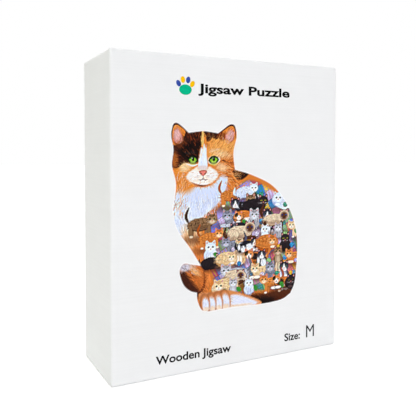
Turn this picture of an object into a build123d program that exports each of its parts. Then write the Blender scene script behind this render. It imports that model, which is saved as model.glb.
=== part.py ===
from build123d import *
import math
import os
import random

# ---------------------------------------------------------------- driving dimensions, mm
BOX_WIDTH = 176.0        # along X
BOX_DEPTH = 62.0         # along Y; the printed panel faces -Y
BOX_HEIGHT = 210.0       # along Z; the closed box stands on its bottom wall
BOARD = 2.0              # grey board
PAPER = 0.3              # wrap and lining paper with its glue
EDGE_RADIUS = 1.3        # outside edges of the wrapped board
TURN_IN = 15.0           # wrap folded in over a rim
LID_GAP = 0.7            # between the tray's outside and the lid's inside, each side
RIM_SETBACK = 0.6        # the lid's rim stops short of the tray's back
TRAY_RIM_GAP = 0.4       # between the tray's rim and the lid's lining
SLIT = 0.15              # open cut between two folded-up walls
STAY_LEG = 12.0          # corner tape, each leg
STAY_THICKNESS = 0.2
OVERCUT = 1.0            # cutting shapes reach this far past what they cut

PIECE_THICKNESS = 4.0    # plywood
PUZZLE_HEIGHT = 340.0    # finished picture
PUZZLE_ROWS = 15
KNOB_RADIUS = 0.115      # of a cell
KNOB_CENTRE = 0.085      # of a cell, off the cut line
CORNER_WANDER = 0.06     # of a cell, how far grid corners stray
SMALLEST_SHARE = 0.42    # a cell that holds less of the picture joins its neighbour
SMALLEST_AREA = 60.0     # mm2, offcuts under this are waste
LAYER_PITCH = 5.8        # pieces lie loosely in layers
LARGEST_TILT = 1.8       # degrees, out of the layer
LARGEST_TURN = 9.0       # degrees, in the layer, from a quarter turn
PIECE_SPACING = 0.6
KNOB_SIZES = (0.95, 1.1)     # smallest and largest, of the usual knob
KNOB_PLACES = (0.44, 0.56)   # along a cut line, from 0 to 1
CUT_SEED, LAY_SEED = 7, 11

BAG_WIDTH = 160.0
BAG_DEPTH = 42.0
FILM = 0.3               # stands in for 0.1 mm film
BAG_SHOULDER = 166.0     # Z where the filled body ends
BAG_NECK = 183.0         # Z where the two films meet
BAG_TOP = 202.0
BAG_CORNER = 6.0
PIECES_TO_SIDE = 1.5     # least room between the pieces and the film
PIECES_TO_BOTTOM = 2.6
PIECES_TO_SHOULDER = 1.0
PIECES_TO_BACK = 1.2
MOUTH_GAP = 0.4
ZIP_Z = 188.0
ZIP_HALF_HEIGHT = 3.2
ZIP_HALF_DEPTH = 1.7
ZIP_BASE = 0.4
ZIP_BEAD_RADIUS = 0.5
ZIP_JAW_GAP = 0.1        # round the bead
ZIP_END_GAP = 0.1        # between a profile's end and the film, each side

POSTER_WIDTH = 150.0     # folded
POSTER_HEIGHT = 190.0
POSTER_PAPER = 0.25
POSTER_FOLD_GAP = 0.5
POSTER_FOLD_FLAT = 0.1   # left between the fold's two roundings
POSTER_TO_BAG = 1.0
CONTENTS_GAP = 0.5       # between the contents and what holds them

# ---------------------------------------------------------------- derived places
LID_FRONT = -BOX_DEPTH / 2
TRAY_BACK = BOX_DEPTH / 2
LID_RIM = TRAY_BACK - RIM_SETBACK
LID_INSIDE_FRONT = LID_FRONT + 2 * PAPER + BOARD
TRAY_RIM = LID_INSIDE_FRONT + TRAY_RIM_GAP
WALL = BOARD + 2 * PAPER
TRAY_WIDTH = BOX_WIDTH - 2 * (WALL + LID_GAP)
TRAY_HEIGHT = BOX_HEIGHT - 2 * (WALL + LID_GAP)
TRAY_FLOOR_Z = WALL + LID_GAP + WALL      # inside face of the tray's lower wall
TRAY_INSIDE_BACK = TRAY_BACK - WALL
MIDDLE_Z = BOX_HEIGHT / 2

BAG_BACK = TRAY_INSIDE_BACK - CONTENTS_GAP
BAG_FRONT = BAG_BACK - BAG_DEPTH
BAG_BOTTOM = TRAY_FLOOR_Z + CONTENTS_GAP
BAG_MIDDLE = (BAG_BACK + BAG_FRONT) / 2
POSTER_BACK = BAG_FRONT - POSTER_TO_BAG
POSTER_BOTTOM = TRAY_FLOOR_Z + CONTENTS_GAP

# The cat's outline, in stretches that meet at sharp corners, going round with the picture's
# left on the left. Its units are its own: the whole is scaled to PUZZLE_HEIGHT.
OUTLINE = [
    [(-44.9, 165), (-47.6, 158), (-45.6, 148), (-46.8, 137.5), (-44, 125), (-45.9, 108),
     (-42.5, 95), (-34, 83), (-26, 70.6)],                                   # ear to tail
    [(-26, 70.6), (-33, 72), (-38.5, 73), (-41.6, 68.5), (-39, 59.5), (-34, 54.6),
     (-29, 52.8)],                                                           # tail
    [(-29, 52.8), (-28.6, 47.5), (-25.5, 41), (-20.5, 39.3)],                # front paw
    [(-20.5, 39.3), (0, 39.9), (20, 39.1), (38, 40.2), (46.5, 44)],          # underside
    [(46.5, 44), (50.6, 54), (52.3, 80), (49, 97), (41.4, 111.3), (30, 123),
     (14, 130.3), (-0.1, 134.4)],                                            # back
    [(-0.1, 134.4), (-1.5, 146), (1, 157), (0.5, 164.6)],                    # cheek, ear
    [(0.5, 164.6), (-6, 163.4), (-13, 159)],                                 # ear
    [(-13, 159), (-24, 160.2), (-34.9, 159)],                                # crown
    [(-34.9, 159), (-39, 162.6), (-44.9, 165)],                              # ear
]


def all_solids(shapes):
    """Every solid of a list of shapes."""
    return [solid for shape in shapes for solid in shape.solids()]


# ---------------------------------------------------------------- box shells
def block(width, height, y_a, y_b):
    """Plain block centred on the box's width and height, between two depths."""
    return Pos(0, (y_a + y_b) / 2, MIDDLE_Z) * Box(width, abs(y_b - y_a), height)


def rounded_block(width, height, y_closed, y_rim, radius):
    """Block with every edge rounded except the four round its rim end."""
    solid = block(width, height, y_closed, y_rim)
    ends = solid.faces().sort_by(Axis.Y)
    closed_end = ends[0] if y_closed < y_rim else ends[-1]
    return fillet(closed_end.edges() + solid.edges().filter_by(Axis.Y), radius)


def four_corners(shape_at):
    """The solids that shape_at(sign_x, sign_z) makes for the four corners."""
    return [shape_at(sx, sz) for sx in (-1, 1) for sz in (-1, 1)]


def case_shell(width, height, y_closed, y_rim):
    """Board, corner stays, wrap and lining of one half of the box, lid or tray."""
    inward = 1 if y_rim > y_closed else -1
    board_w, board_h = width - 2 * PAPER, height - 2 * PAPER
    hollow_w, hollow_h = board_w - 2 * BOARD, board_h - 2 * BOARD
    board_closed = y_closed + inward * PAPER
    board_rim = y_rim - inward * PAPER
    panel_inside = board_closed + inward * BOARD
    past_rim = y_rim + inward * BOARD
    turn_in_end = y_rim - inward * TURN_IN

    board_outer = rounded_block(board_w, board_h, board_closed, board_rim, EDGE_RADIUS - PAPER)
    hollow = block(hollow_w, hollow_h, panel_inside, past_rim)
    opening = block(hollow_w - 2 * PAPER, hollow_h - 2 * PAPER, panel_inside, past_rim)

    def slit(sx, sz):
        """Cut beside one end of an upright wall, where the walls are not joined."""
        x = sx * (hollow_w + SLIT) / 2
        z = MIDDLE_Z + sz * (hollow_h + BOARD) / 2
        y = (panel_inside + past_rim) / 2
        return Pos(x, y, z) * Box(SLIT, abs(past_rim - panel_inside), BOARD + OVERCUT)

    def stay_column(sx, sz):
        """Corner column that holds one stay, clear of the panel and the rim."""
        x = sx * (board_w / 2 - STAY_LEG / 2 + OVERCUT)
        z = MIDDLE_Z + sz * (board_h / 2 - STAY_LEG / 2 + OVERCUT)
        y = (panel_inside + board_rim - inward * BOARD) / 2
        return Pos(x, y, z) * Box(STAY_LEG, abs(board_rim - panel_inside) - BOARD, STAY_LEG)

    core = rounded_block(board_w - 2 * STAY_THICKNESS, board_h - 2 * STAY_THICKNESS,
                         board_closed, board_rim, EDGE_RADIUS - PAPER - STAY_THICKNESS)
    stay_skin = board_outer - core
    stays = [stay_skin & column for column in four_corners(stay_column)]

    board = board_outer - hollow
    board -= four_corners(slit)
    board -= stays

    wrap = rounded_block(width, height, y_closed, y_rim, EDGE_RADIUS) - board_outer
    wrap += block(hollow_w, hollow_h, turn_in_end, y_rim)
    wrap -= opening

    lining = block(hollow_w, hollow_h, panel_inside, turn_in_end - inward * SLIT)
    lining -= block(hollow_w - 2 * PAPER, hollow_h - 2 * PAPER,
                    panel_inside + inward * PAPER, past_rim)
    return {"board": board, "corner_stays": Compound(children=all_solids(stays)),
            "wrap": wrap, "lining": lining}


# ---------------------------------------------------------------- zip bag
def bag_section(inset):
    """Side view of the filled bag in the YZ plane, moved in by inset."""
    half = BAG_DEPTH / 2 - inset
    lip = MOUTH_GAP / 2 + FILM - inset
    zip_half = ZIP_HALF_DEPTH - inset
    top = BAG_TOP + (OVERCUT if inset else 0)
    side = [
        (half, BAG_BOTTOM + inset),
        (half, BAG_SHOULDER),
        (lip, BAG_NECK),
        (lip, ZIP_Z - ZIP_HALF_HEIGHT - ZIP_HALF_DEPTH),
        (zip_half, ZIP_Z - ZIP_HALF_HEIGHT),
        (zip_half, ZIP_Z + ZIP_HALF_HEIGHT),
        (lip, ZIP_Z + ZIP_HALF_HEIGHT + ZIP_HALF_DEPTH),
        (lip, top),
    ]
    mirrored = [(-y, z) for y, z in reversed(side)]
    face = make_face(Polyline(*side, *mirrored, close=True))
    low_corners = face.vertices().sort_by(Axis.Y)[:2]
    return fillet(low_corners, BAG_CORNER - inset)


def along_box(section, width):
    """Extrude a YZ section, drawn about the bag's middle, to a width centred on X."""
    return Pos(0, BAG_MIDDLE, 0) * extrude(Plane.YZ * section, width / 2, both=True)


def bag_film():
    outside = along_box(bag_section(0), BAG_WIDTH)
    inside = along_box(bag_section(FILM), BAG_WIDTH - 2 * FILM)
    return outside - inside


def zip_profiles():
    """The bead and the jaws that close round it, each on its own base strip."""
    half = ZIP_HALF_DEPTH - FILM
    height = 2 * ZIP_HALF_HEIGHT
    base = Pos(half - ZIP_BASE / 2, ZIP_Z) * Rectangle(ZIP_BASE, height)
    stem_length = half - ZIP_BASE
    stem = Pos(stem_length / 2, ZIP_Z) * Rectangle(stem_length, ZIP_BEAD_RADIUS)
    bead = Pos(0, ZIP_Z) * Circle(ZIP_BEAD_RADIUS)
    male = base + stem + bead

    socket_radius = ZIP_BEAD_RADIUS + ZIP_JAW_GAP
    jaw_radius = socket_radius + ZIP_BASE
    throat = ZIP_BEAD_RADIUS + 2 * ZIP_JAW_GAP
    jaws = Pos(0, ZIP_Z) * (Circle(jaw_radius) - Circle(socket_radius))
    jaws -= Pos(jaw_radius / 2, ZIP_Z) * Rectangle(jaw_radius, throat)
    back = Pos(-half + ZIP_BASE / 2, ZIP_Z) * Rectangle(ZIP_BASE, height)
    foot_length = half - jaw_radius + ZIP_BASE
    foot = Pos(-half + foot_length / 2, ZIP_Z) * Rectangle(foot_length, ZIP_BEAD_RADIUS)
    female = jaws + back + foot - Pos(0, ZIP_Z) * Circle(socket_radius)
    width = BAG_WIDTH - 2 * (FILM + ZIP_END_GAP)
    return along_box(male, width), along_box(female, width)


# ---------------------------------------------------------------- poster
def poster():
    """Sheet folded once, with its fold at -X, drawn as a narrow U seen from above."""
    depth = 2 * POSTER_PAPER + POSTER_FOLD_GAP
    outline = Rectangle(POSTER_WIDTH, depth)
    fold = outline.vertices().group_by(Axis.X)[0]
    outline = fillet(fold, (depth - POSTER_FOLD_FLAT) / 2)
    gap = Pos(depth / 2, 0) * Rectangle(POSTER_WIDTH, POSTER_FOLD_GAP)
    leaves = extrude(outline - gap, POSTER_HEIGHT)
    return Pos(0, POSTER_BACK - depth / 2, POSTER_BOTTOM) * leaves


# ---------------------------------------------------------------- puzzle pieces
def picture_scale():
    heights = [z for stretch in OUTLINE for _, z in stretch]
    return PUZZLE_HEIGHT / (max(heights) - min(heights)), min(heights)


def picture_outline():
    """The outline's stretches at full size, with its lowest point at 0."""
    scale, low = picture_scale()
    return [[(x * scale, (z - low) * scale) for x, z in stretch] for stretch in OUTLINE]


def inside(x, z, corners):
    """Even-odd test of a point against a closed polygon."""
    crossed = False
    for (x1, z1), (x2, z2) in zip(corners, corners[1:] + corners[:1]):
        if (z1 > z) != (z2 > z) and x < x1 + (x2 - x1) * (z - z1) / (z2 - z1):
            crossed = not crossed
    return crossed


def knob_edge(start, end, rng):
    """Cut line between two grid corners, straight but for one round knob."""
    start, end = Vector(*start), Vector(*end)
    run = end - start
    length = run.length
    along = run.normalized()
    side = rng.choice((-1, 1))
    across = Vector(-along.Y, along.X) * side
    radius = KNOB_RADIUS * length * rng.uniform(*KNOB_SIZES)
    offset = KNOB_CENTRE * length
    half_neck = math.sqrt(radius ** 2 - offset ** 2)
    middle = start + run * rng.uniform(*KNOB_PLACES)
    enter = middle - along * half_neck
    leave = middle + along * half_neck
    tip = middle + across * (offset + radius)
    return [Line(start, enter), ThreePointArc(enter, tip, leave), Line(leave, end)]


def cut_grid(corners):
    """Cell faces of the whole cutting grid, keyed by (row, column)."""
    rng = random.Random(CUT_SEED)
    cell = PUZZLE_HEIGHT / PUZZLE_ROWS
    low_x = min(x for x, _ in corners)
    wide = max(x for x, _ in corners) - low_x
    columns = math.ceil(wide / cell)
    first_x = low_x - (columns * cell - wide) / 2

    def grid_point(row, column):
        stray = CORNER_WANDER * cell
        x = first_x + column * cell + rng.uniform(-stray, stray)
        z = row * cell + rng.uniform(-stray, stray)
        if row in (0, PUZZLE_ROWS):
            z += cell * (row / PUZZLE_ROWS - 0.5)
        if column in (0, columns):
            x += cell * (column / columns - 0.5)
        return x, z

    points = {(r, c): grid_point(r, c)
              for r in range(PUZZLE_ROWS + 1) for c in range(columns + 1)}
    flat = {(r, c): knob_edge(points[r, c], points[r, c + 1], rng)
            for r in range(PUZZLE_ROWS + 1) for c in range(columns)}
    upright = {(r, c): knob_edge(points[r, c], points[r + 1, c], rng)
               for r in range(PUZZLE_ROWS) for c in range(columns + 1)}
    cells = {}
    for r in range(PUZZLE_ROWS):
        for c in range(columns):
            edges = flat[r, c] + upright[r, c + 1] + flat[r + 1, c] + upright[r, c]
            quad = [points[r, c], points[r, c + 1], points[r + 1, c + 1], points[r + 1, c]]
            cells[r, c] = (make_face([edge.edge() for edge in edges]), quad)
    return cells


def share_inside(quad, corners, steps=8):
    """How much of a grid cell lies in the picture, from 0 to 1."""
    hits = 0
    for i in range(steps):
        for j in range(steps):
            u, v = (i + 0.5) / steps, (j + 0.5) / steps
            weights = ((1 - u) * (1 - v), u * (1 - v), u * v, (1 - u) * v)
            x = sum(w * p[0] for w, p in zip(weights, quad))
            z = sum(w * p[1] for w, p in zip(weights, quad))
            hits += inside(x, z, corners)
    return hits / steps ** 2


def join_small_cells(shares):
    """Cell groups: a cell with too little picture joins its fullest neighbour."""
    home = {cell: cell for cell in shares}
    for cell in sorted(shares, key=lambda key: shares[key]):
        if 0 < shares[cell] < SMALLEST_SHARE:
            r, c = cell
            beside = [(r + 1, c), (r - 1, c), (r, c + 1), (r, c - 1)]
            home[cell] = max(beside, key=lambda key: shares.get(key, 0))

    def owner(cell):
        seen = set()
        while home[cell] != cell and cell not in seen:
            seen.add(cell)
            cell = home[cell]
        return cell

    groups = {}
    for cell, share in shares.items():
        if share > 0:
            groups.setdefault(owner(cell), []).append(cell)
    return groups


def cut_pieces():
    """Flat faces of the cut picture, keyed by the row and column they belong to."""
    stretches = picture_outline()
    corners = [point for stretch in stretches for point in stretch[:-1]]
    picture = make_face([Spline(*stretch).edge() for stretch in stretches])
    cells = cut_grid(corners)
    shares = {key: share_inside(quad, corners) for key, (_, quad) in cells.items()}
    faces = []
    for (row, column), members in sorted(join_small_cells(shares).items()):
        group = cells[members[0]][0]
        for member in members[1:]:
            group += cells[member][0]
        for face in (group & picture).faces():
            if face.area > SMALLEST_AREA:
                faces.append((row, column, face))
    return faces


def lay_in_bag(faces):
    """Solid pieces, turned and laid in loose layers in the bag, with their places kept."""
    rng = random.Random(LAY_SEED)
    side = BAG_WIDTH / 2 - FILM - PIECES_TO_SIDE
    low, high = BAG_BOTTOM + FILM + PIECES_TO_BOTTOM, BAG_SHOULDER - PIECES_TO_SHOULDER
    first_y = BAG_BACK - FILM - PIECES_TO_BACK - PIECE_THICKNESS / 2
    order = list(range(len(faces)))
    rng.shuffle(order)
    x, z, shelf, layer = -side, low, 0.0, 0
    laid = {}
    for index in order:
        row, column, face = faces[index]
        flat = Pos(*(-face.center())) * face
        turn = rng.choice((0, 90, 180, 270)) + rng.uniform(-LARGEST_TURN, LARGEST_TURN)
        turned = Rot(0, 0, turn) * flat
        size = turned.bounding_box()
        if x + size.size.X > side:
            x, z, shelf = -side, z + shelf + PIECE_SPACING, 0.0
        if z + size.size.Y > high:
            x, z, shelf, layer = -side, low, 0.0, layer + 1
        solid = extrude(turned, PIECE_THICKNESS / 2, both=True)
        tilt = Rot(rng.uniform(-LARGEST_TILT, LARGEST_TILT),
                   rng.uniform(-LARGEST_TILT, LARGEST_TILT), 0)
        centre = (x - size.min.X, z - size.min.Y)
        y = first_y - layer * LAYER_PITCH
        upright = Rot(90, 0, 0) * (tilt * solid)
        laid[index] = Pos(centre[0], y, centre[1]) * upright
        x += size.size.X + PIECE_SPACING
        shelf = max(shelf, size.size.Y)
    print("puzzle pieces:", len(faces), "layers:", layer + 1,
          "stack depth:", round((layer + 1) * LAYER_PITCH, 1))
    return [(faces[i][0], faces[i][1], laid[i]) for i in sorted(laid)]


def piece_groups():
    """Pieces grouped by picture row, each row in three parts from left to right."""
    laid = lay_in_bag(cut_pieces())
    columns = 1 + max(column for _, column, _ in laid)
    parts = ("left", "middle", "right")
    groups = {}
    for row, column, solid in laid:
        part = parts[min(2, 3 * column // columns)]
        name = f"pieces_row_{PUZZLE_ROWS - row:02d}_{part}"
        groups.setdefault(name, []).append(solid)
    return {name: Compound(children=all_solids(solids)) for name, solids in groups.items()}


# ---------------------------------------------------------------- all nodes
def all_nodes():
    nodes = {}
    for half, shell in (
        ("lid", case_shell(BOX_WIDTH, BOX_HEIGHT, LID_FRONT, LID_RIM)),
        ("tray", case_shell(TRAY_WIDTH, TRAY_HEIGHT, TRAY_BACK, TRAY_RIM)),
    ):
        for layer, solid in shell.items():
            nodes[f"{half}_{layer}"] = solid
    nodes["zip_bag_film"] = bag_film()
    nodes["zip_profile_male"], nodes["zip_profile_female"] = zip_profiles()
    nodes["reference_poster"] = poster()
    nodes.update(piece_groups())
    return nodes


os.makedirs("parts", exist_ok=True)
for node, shape in all_nodes().items():
    export_step(shape, f"parts/{node}.step")
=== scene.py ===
import math
import random

import bmesh
import bpy
import numpy as np
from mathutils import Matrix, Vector


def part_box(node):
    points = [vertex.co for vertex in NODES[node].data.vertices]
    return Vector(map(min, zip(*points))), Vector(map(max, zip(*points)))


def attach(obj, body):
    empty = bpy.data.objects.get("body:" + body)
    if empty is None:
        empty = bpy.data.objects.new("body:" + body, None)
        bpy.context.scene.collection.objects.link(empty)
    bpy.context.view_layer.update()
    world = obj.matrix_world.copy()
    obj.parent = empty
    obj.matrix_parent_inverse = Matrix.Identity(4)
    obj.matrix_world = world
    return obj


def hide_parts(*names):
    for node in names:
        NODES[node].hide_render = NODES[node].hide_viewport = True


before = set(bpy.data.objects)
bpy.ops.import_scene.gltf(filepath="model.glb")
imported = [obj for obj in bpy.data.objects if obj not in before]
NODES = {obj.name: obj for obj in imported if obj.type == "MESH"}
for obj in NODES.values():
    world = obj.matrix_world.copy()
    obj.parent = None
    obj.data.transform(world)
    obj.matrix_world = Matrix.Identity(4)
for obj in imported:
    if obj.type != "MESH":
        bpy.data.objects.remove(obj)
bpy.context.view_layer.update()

# ------------------------------------------------------------------ sizes, mm
MM = 0.001


def box_mm(node):
    """A node's box in mm: its low corner and its high one."""
    return [np.array(corner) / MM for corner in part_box(node)]


LID_LOW, LID_HIGH = box_mm("lid_wrap")
TRAY_LOW, TRAY_HIGH = box_mm("tray_wrap")
FRONT = LID_LOW[1]       # the lid panel's outer face
EDGE_RADIUS = 1.8
TURN_IN = 15.0           # width of the paper turned in over a rim
BOARD_AND_PAPERS = 2.3   # wall thickness under the turned-in paper, with both papers
SKIN = 0.24              # thickness of a wrap's paper
FLAP = 13.0              # width of the folded ears at the ends of the walls
FLAP_STEP = 0.12
WRAP_STEP = 2.6          # between a wrap's points
RIPPLE = 0.07            # how uneven a wrap's paper lies
PEAK_HEIGHT = 0.50       # the small peak at the lid's upper left corner
PEAK_WIDTH = 2.8
PEAK_INSET = 0.4
PRINT_GLOSS = 0.06
INK = 0.03               # height of printed shapes over the paper
CAPITAL_SHARE = 0.73     # a capital's share of the lettering's size
PICTURE_GRID = 0.445
BORDER = 1.0             # white round the picture
BORDER_WHITE = (250, 250, 251)
POSTER_STEP = 1.1
POSTER_GROWTH = 1.22     # the poster's picture over the lid's
POSTER_LEAF = 0.22
POSTER_WHITE = (246, 245, 240)
BAG_SHOULDER, BAG_NECK = 166.0, 183.0    # heights where the bag starts and stops narrowing
BAG_LIP = 0.5            # half depth of the flattened bag
BAG_CORNER = 6.0
BAG_SKIN = 0.24
BAG_STEP = 2.2           # between its points' heights
ZIP_HALF = 1.7           # the film's half depth at the closure, and the height that it takes to get there
CREASES = 16

# ------------------------------------------------------------------ camera and light
CAMERA = (-0.1882, -0.3603, 0.1459)
CAMERA_YAW, CAMERA_PITCH = 26.96, 1.58
LENS, SHIFT = 47.91, -40 / 416
SENSOR, CLIP = 36, (0.01, 50)
FLOOR_REACH = 6.0
WHITE = (1, 1, 1, 1)
WORLD_STRENGTH = 1.12
FLOOR_GLOW = 0.14
AIM = (0, 0, 0.04)       # where the lamps point
# The studio is white behind the object and dimmer towards its front, its front right and its left.
WORLD_LOSSES = [((0, -1, 0), (0.76, 0.765, 0.745)), ((0.8, -0.6, 0), (0.74, 0.74, 0.74)),
                ((-1, 0, 0), (1.0, 1.0, 1.0))]
LIGHTS = [
    # name, kind, power, size, place, colour
    ("top_sun", "SUN", 1.6, 0.3, (-0.5, -1.0, 3.0), (1, 1, 1)),
    ("front_soft", "AREA", 2.7, 0.3, (-0.80, -1.05, 0.06), (1, 1, 1)),
    ("low_soft", "AREA", 1.2, 0.3, (0.25, -0.8, 0.01), (1, 1, 1)),
    ("left_soft", "AREA", 0.42, 0.5, (-0.95, 0.20, 0.50), (0.95, 1.0, 0.1)),
]

# ------------------------------------------------------------------ picture on the lid
PICTURE_STEP = 0.17      # mm between painted points
PICTURE_AREA = (-49.0, 54.0, 37.5, 167.0)
SHARP_REACH, SHARP_GAIN = 5, 0.9
BALANCE = (0.97, 1.0, 1.05)              # red, green and blue of the print
DEPTH = 1.15             # over 1 darkens the middle tones
DOWN = -math.pi / 2
NOSE_X = -24.4

# The cat's outline in mm on the panel, x from its middle and z from its foot, in stretches
# that meet at sharp corners.
OUTLINE = [
    [(-46.4, 163.4), (-47.4, 157), (-45.8, 148), (-46.8, 137.5), (-44, 125), (-45.9, 108),
     (-42.5, 95), (-34, 83), (-26, 70.6)],
    [(-26, 70.6), (-33, 72), (-38.5, 73), (-41.6, 68.5), (-39, 59.5), (-34, 54.6),
     (-29, 52.8)],
    [(-29, 52.8), (-28.6, 47.5), (-25.5, 41), (-20.5, 39.3)],
    [(-20.5, 39.3), (0, 39.9), (20, 39.1), (38, 40.2), (46.5, 44)],
    [(46.5, 44), (50.6, 54), (52.3, 80), (49, 97), (41.4, 111.3), (30, 123),
     (14, 130.3), (-0.1, 134.4)],
    [(-0.1, 134.4), (-1.2, 146), (1.2, 156.5), (0.4, 163), (-1.6, 165.2), (-4.6, 164.8), (-9, 161.8),
     (-13, 159)],
    [(-13, 159), (-24, 160.2), (-34.9, 159)],
    [(-34.9, 159), (-39.5, 163), (-43, 165.2), (-45.2, 165), (-46.4, 163.4)],
]


def curve_through(points, steps=12):
    """Points along a Catmull-Rom curve through a stretch, without its last point."""
    p = [np.array(q, float) for q in points]
    p = [2 * p[0] - p[1]] + p + [2 * p[-1] - p[-2]]
    out = []
    for a, b, c, d in zip(p, p[1:], p[2:], p[3:]):
        for t in np.arange(steps) / steps:
            out.append(0.5 * (2 * b + (c - a) * t + (2 * a - 5 * b + 4 * c - d) * t ** 2
                              + (3 * b - a - 3 * c + d) * t ** 3))
    return out


def rounded_loop(points, rounds=2):
    """A closed loop with its corners cut twice, so that it runs soft."""
    loop = np.array(points, float)
    for _ in range(rounds):
        after = np.roll(loop, -1, axis=0)
        loop = np.stack([0.75 * loop + 0.25 * after, 0.25 * loop + 0.75 * after], 1)
        loop = loop.reshape(-1, 2)
    return loop


def signed_distance(x, z, loop):
    """Distance to a closed loop's edge, positive inside it."""
    inside = np.zeros(x.shape, bool)
    nearest = np.full(x.shape, 1e9)
    for (ax, az), (bx, bz) in zip(loop, np.roll(loop, -1, axis=0)):
        dx, dz = bx - ax, bz - az
        if dz != 0:
            crosses = (az > z) != (bz > z)
            inside ^= crosses & (x < ax + dx * (z - az) / dz)
        t = np.clip(((x - ax) * dx + (z - az) * dz) / (dx * dx + dz * dz + 1e-12), 0, 1)
        nearest = np.minimum(nearest, (x - ax - t * dx) ** 2 + (z - az - t * dz) ** 2)
    return np.where(inside, 1, -1) * np.sqrt(nearest)


def smooth(t):
    t = np.clip(t, 0, 1)
    return t * t * (3 - 2 * t)


class Canvas:
    """Colours on a fine grid, x to the right and z up, mm; colours are 0 to 255."""

    def __init__(self, area, step, colour):
        x0, x1, z0, z1 = area
        self.xs, self.zs, self.step = np.arange(x0, x1, step), np.arange(z0, z1, step), step
        self.rgb = np.tile(np.array(colour, float), (len(self.zs), len(self.xs), 1))
        self.rng = random.Random(5)

    def window(self, x_low, x_high, z_low, z_high):
        i0, i1 = np.searchsorted(self.xs, (x_low, x_high))
        j0, j1 = np.searchsorted(self.zs, (z_low, z_high))
        x, z = np.meshgrid(self.xs[i0:i1], self.zs[j0:j1])
        return (slice(j0, j1), slice(i0, i1)), x, z

    def lay(self, part, cover, colour):
        self.rgb[part] += cover[..., None] * (np.asarray(colour, float) - self.rgb[part])

    def at(self, x, z):
        """Colour under a point."""
        i = min(max(int((x - self.xs[0]) / self.step), 0), len(self.xs) - 1)
        j = min(max(int((z - self.zs[0]) / self.step), 0), len(self.zs) - 1)
        return self.rgb[j, i].copy()

    def oval(self, x, z, rx, rz, colour, turn=0.0, soft=0.4, strength=1.0):
        reach = max(rx, rz) + soft
        part, gx, gz = self.window(x - reach, x + reach, z - reach, z + reach)
        c, s = math.cos(math.radians(turn)), math.sin(math.radians(turn))
        u, v = (gx - x) * c + (gz - z) * s, (gz - z) * c - (gx - x) * s
        depth = (1 - np.hypot(u / rx, v / rz)) * min(rx, rz)
        self.lay(part, strength * smooth(depth / soft + 0.5), colour)

    def ovals(self, *rows):
        for row in rows:
            self.oval(*row)

    def patch(self, points, colour, soft=0.4, strength=1.0, rounds=2):
        """Fill a loop; colour may be a function of x and z that returns colours."""
        loop = rounded_loop(points, rounds)
        (x0, z0), (x1, z1) = loop.min(0) - soft, loop.max(0) + soft
        part, gx, gz = self.window(x0, x1, z0, z1)
        if callable(colour):
            colour = colour(gx, gz)
        depth = signed_distance(gx, gz, loop)
        self.lay(part, strength * smooth(depth / soft + 0.5), colour)

    def hair(self, x, z, angle, length, width, colour, strength=0.7, curl=0.0):
        """One stroke, thick at its root and fine at its tip, that bends as it goes."""
        c, s = math.cos(angle), math.sin(angle)
        end_x, end_z = x + length * c, z + length * s
        reach = width + abs(curl) * length
        part, gx, gz = self.window(min(x, end_x) - reach, max(x, end_x) + reach,
                                   min(z, end_z) - reach, max(z, end_z) + reach)
        u = ((gx - x) * c + (gz - z) * s) / length
        v = (gz - z) * c - (gx - x) * s - curl * length * u * u
        half = 0.5 * width * np.sqrt(np.clip(1 - u, 0, 1))
        cover = smooth((half - np.abs(v)) / self.step + 0.5) * (u > 0) * (u < 1)
        self.lay(part, strength * cover, colour)

    def fur(self, points, flow, per_mm2, length, width, contrast=0.16, strength=0.7):
        """Hairs over an area, each in a lighter or darker tone of what its root covers."""
        rng = self.rng
        loop = np.array(points, float)
        low, high = loop.min(0), loop.max(0)
        count = int(np.prod(high - low) * per_mm2)
        roots = np.array([(rng.uniform(low[0], high[0]), rng.uniform(low[1], high[1]))
                          for _ in range(count)])
        roots = roots[signed_distance(roots[:, 0], roots[:, 1], loop) > 0]
        tones = [self.at(x, z) for x, z in roots]
        for (x, z), tone in zip(roots, tones):
            tone = tone * (1 + rng.uniform(-contrast, contrast)) + rng.uniform(-8, 8)
            angle = (flow(x, z) if callable(flow) else flow) + rng.gauss(0, 0.22)
            self.hair(x, z, angle, length * rng.uniform(0.6, 1.3), width, np.clip(tone, 0, 255),
                      strength, rng.uniform(-0.2, 0.2))

    def strokes(self, count, area, flow, spread, length, width, tones, strength, curl=0.1):
        """Strokes from random roots in an area; flow may be a function, and strength one of x."""
        for _ in range(count):
            x, z = self.rng.uniform(*area[:2]), self.rng.uniform(*area[2:])
            angle = (flow(x, z) if callable(flow) else flow) + self.rng.gauss(0, spread)
            self.hair(x, z, angle, self.rng.uniform(*length), width, self.rng.choice(tones),
                      strength(x) if callable(strength) else strength, curl)

    def arc(self, points, width, colour, strength=0.9):
        """A brush line along a soft path, fine at both ends."""
        path = np.array(curve_through(points, 16) + [points[-1]], float)
        n = len(path) - 1
        for k in range(n + 1):
            girth = width * (0.35 + 0.65 * math.sin(math.pi * k / n)) / 2
            self.oval(*path[k], girth, girth, colour, soft=0.2, strength=strength)


# ---- kittens
BODY_TO_HEAD = 1.32
KITTEN_GROWTH = 1.16
# Each pose's shadow, in shares of the body's measure: how far down, how far behind, its half width.
SHADOWS = {"sit": (3.1, 0, 1.2), "lie": (1.55, 1.4, 2.3), "walk": (2.5, 1.8, 2.2), "peek": (1.7, 0, 1.0),
           "curl": (1.6, 0.9, 2.1)}
ROW_TOP, ROW_FOOT, ROW_PITCH = 121.0, 51.0, 9.4      # mm on the panel
KITTENS_A_ROW, KITTEN_PITCH = 7, 12.0


def towards(side):
    """The angle of a level line: to the right where side is 1, to the left where it is -1."""
    return math.pi / 2 * (1 - side)


def coat(fur, shade, belly, eye=(90, 120, 60), marks="plain"):
    return {"fur": fur, "shade": shade, "belly": belly, "eye": eye, "marks": marks}


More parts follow.
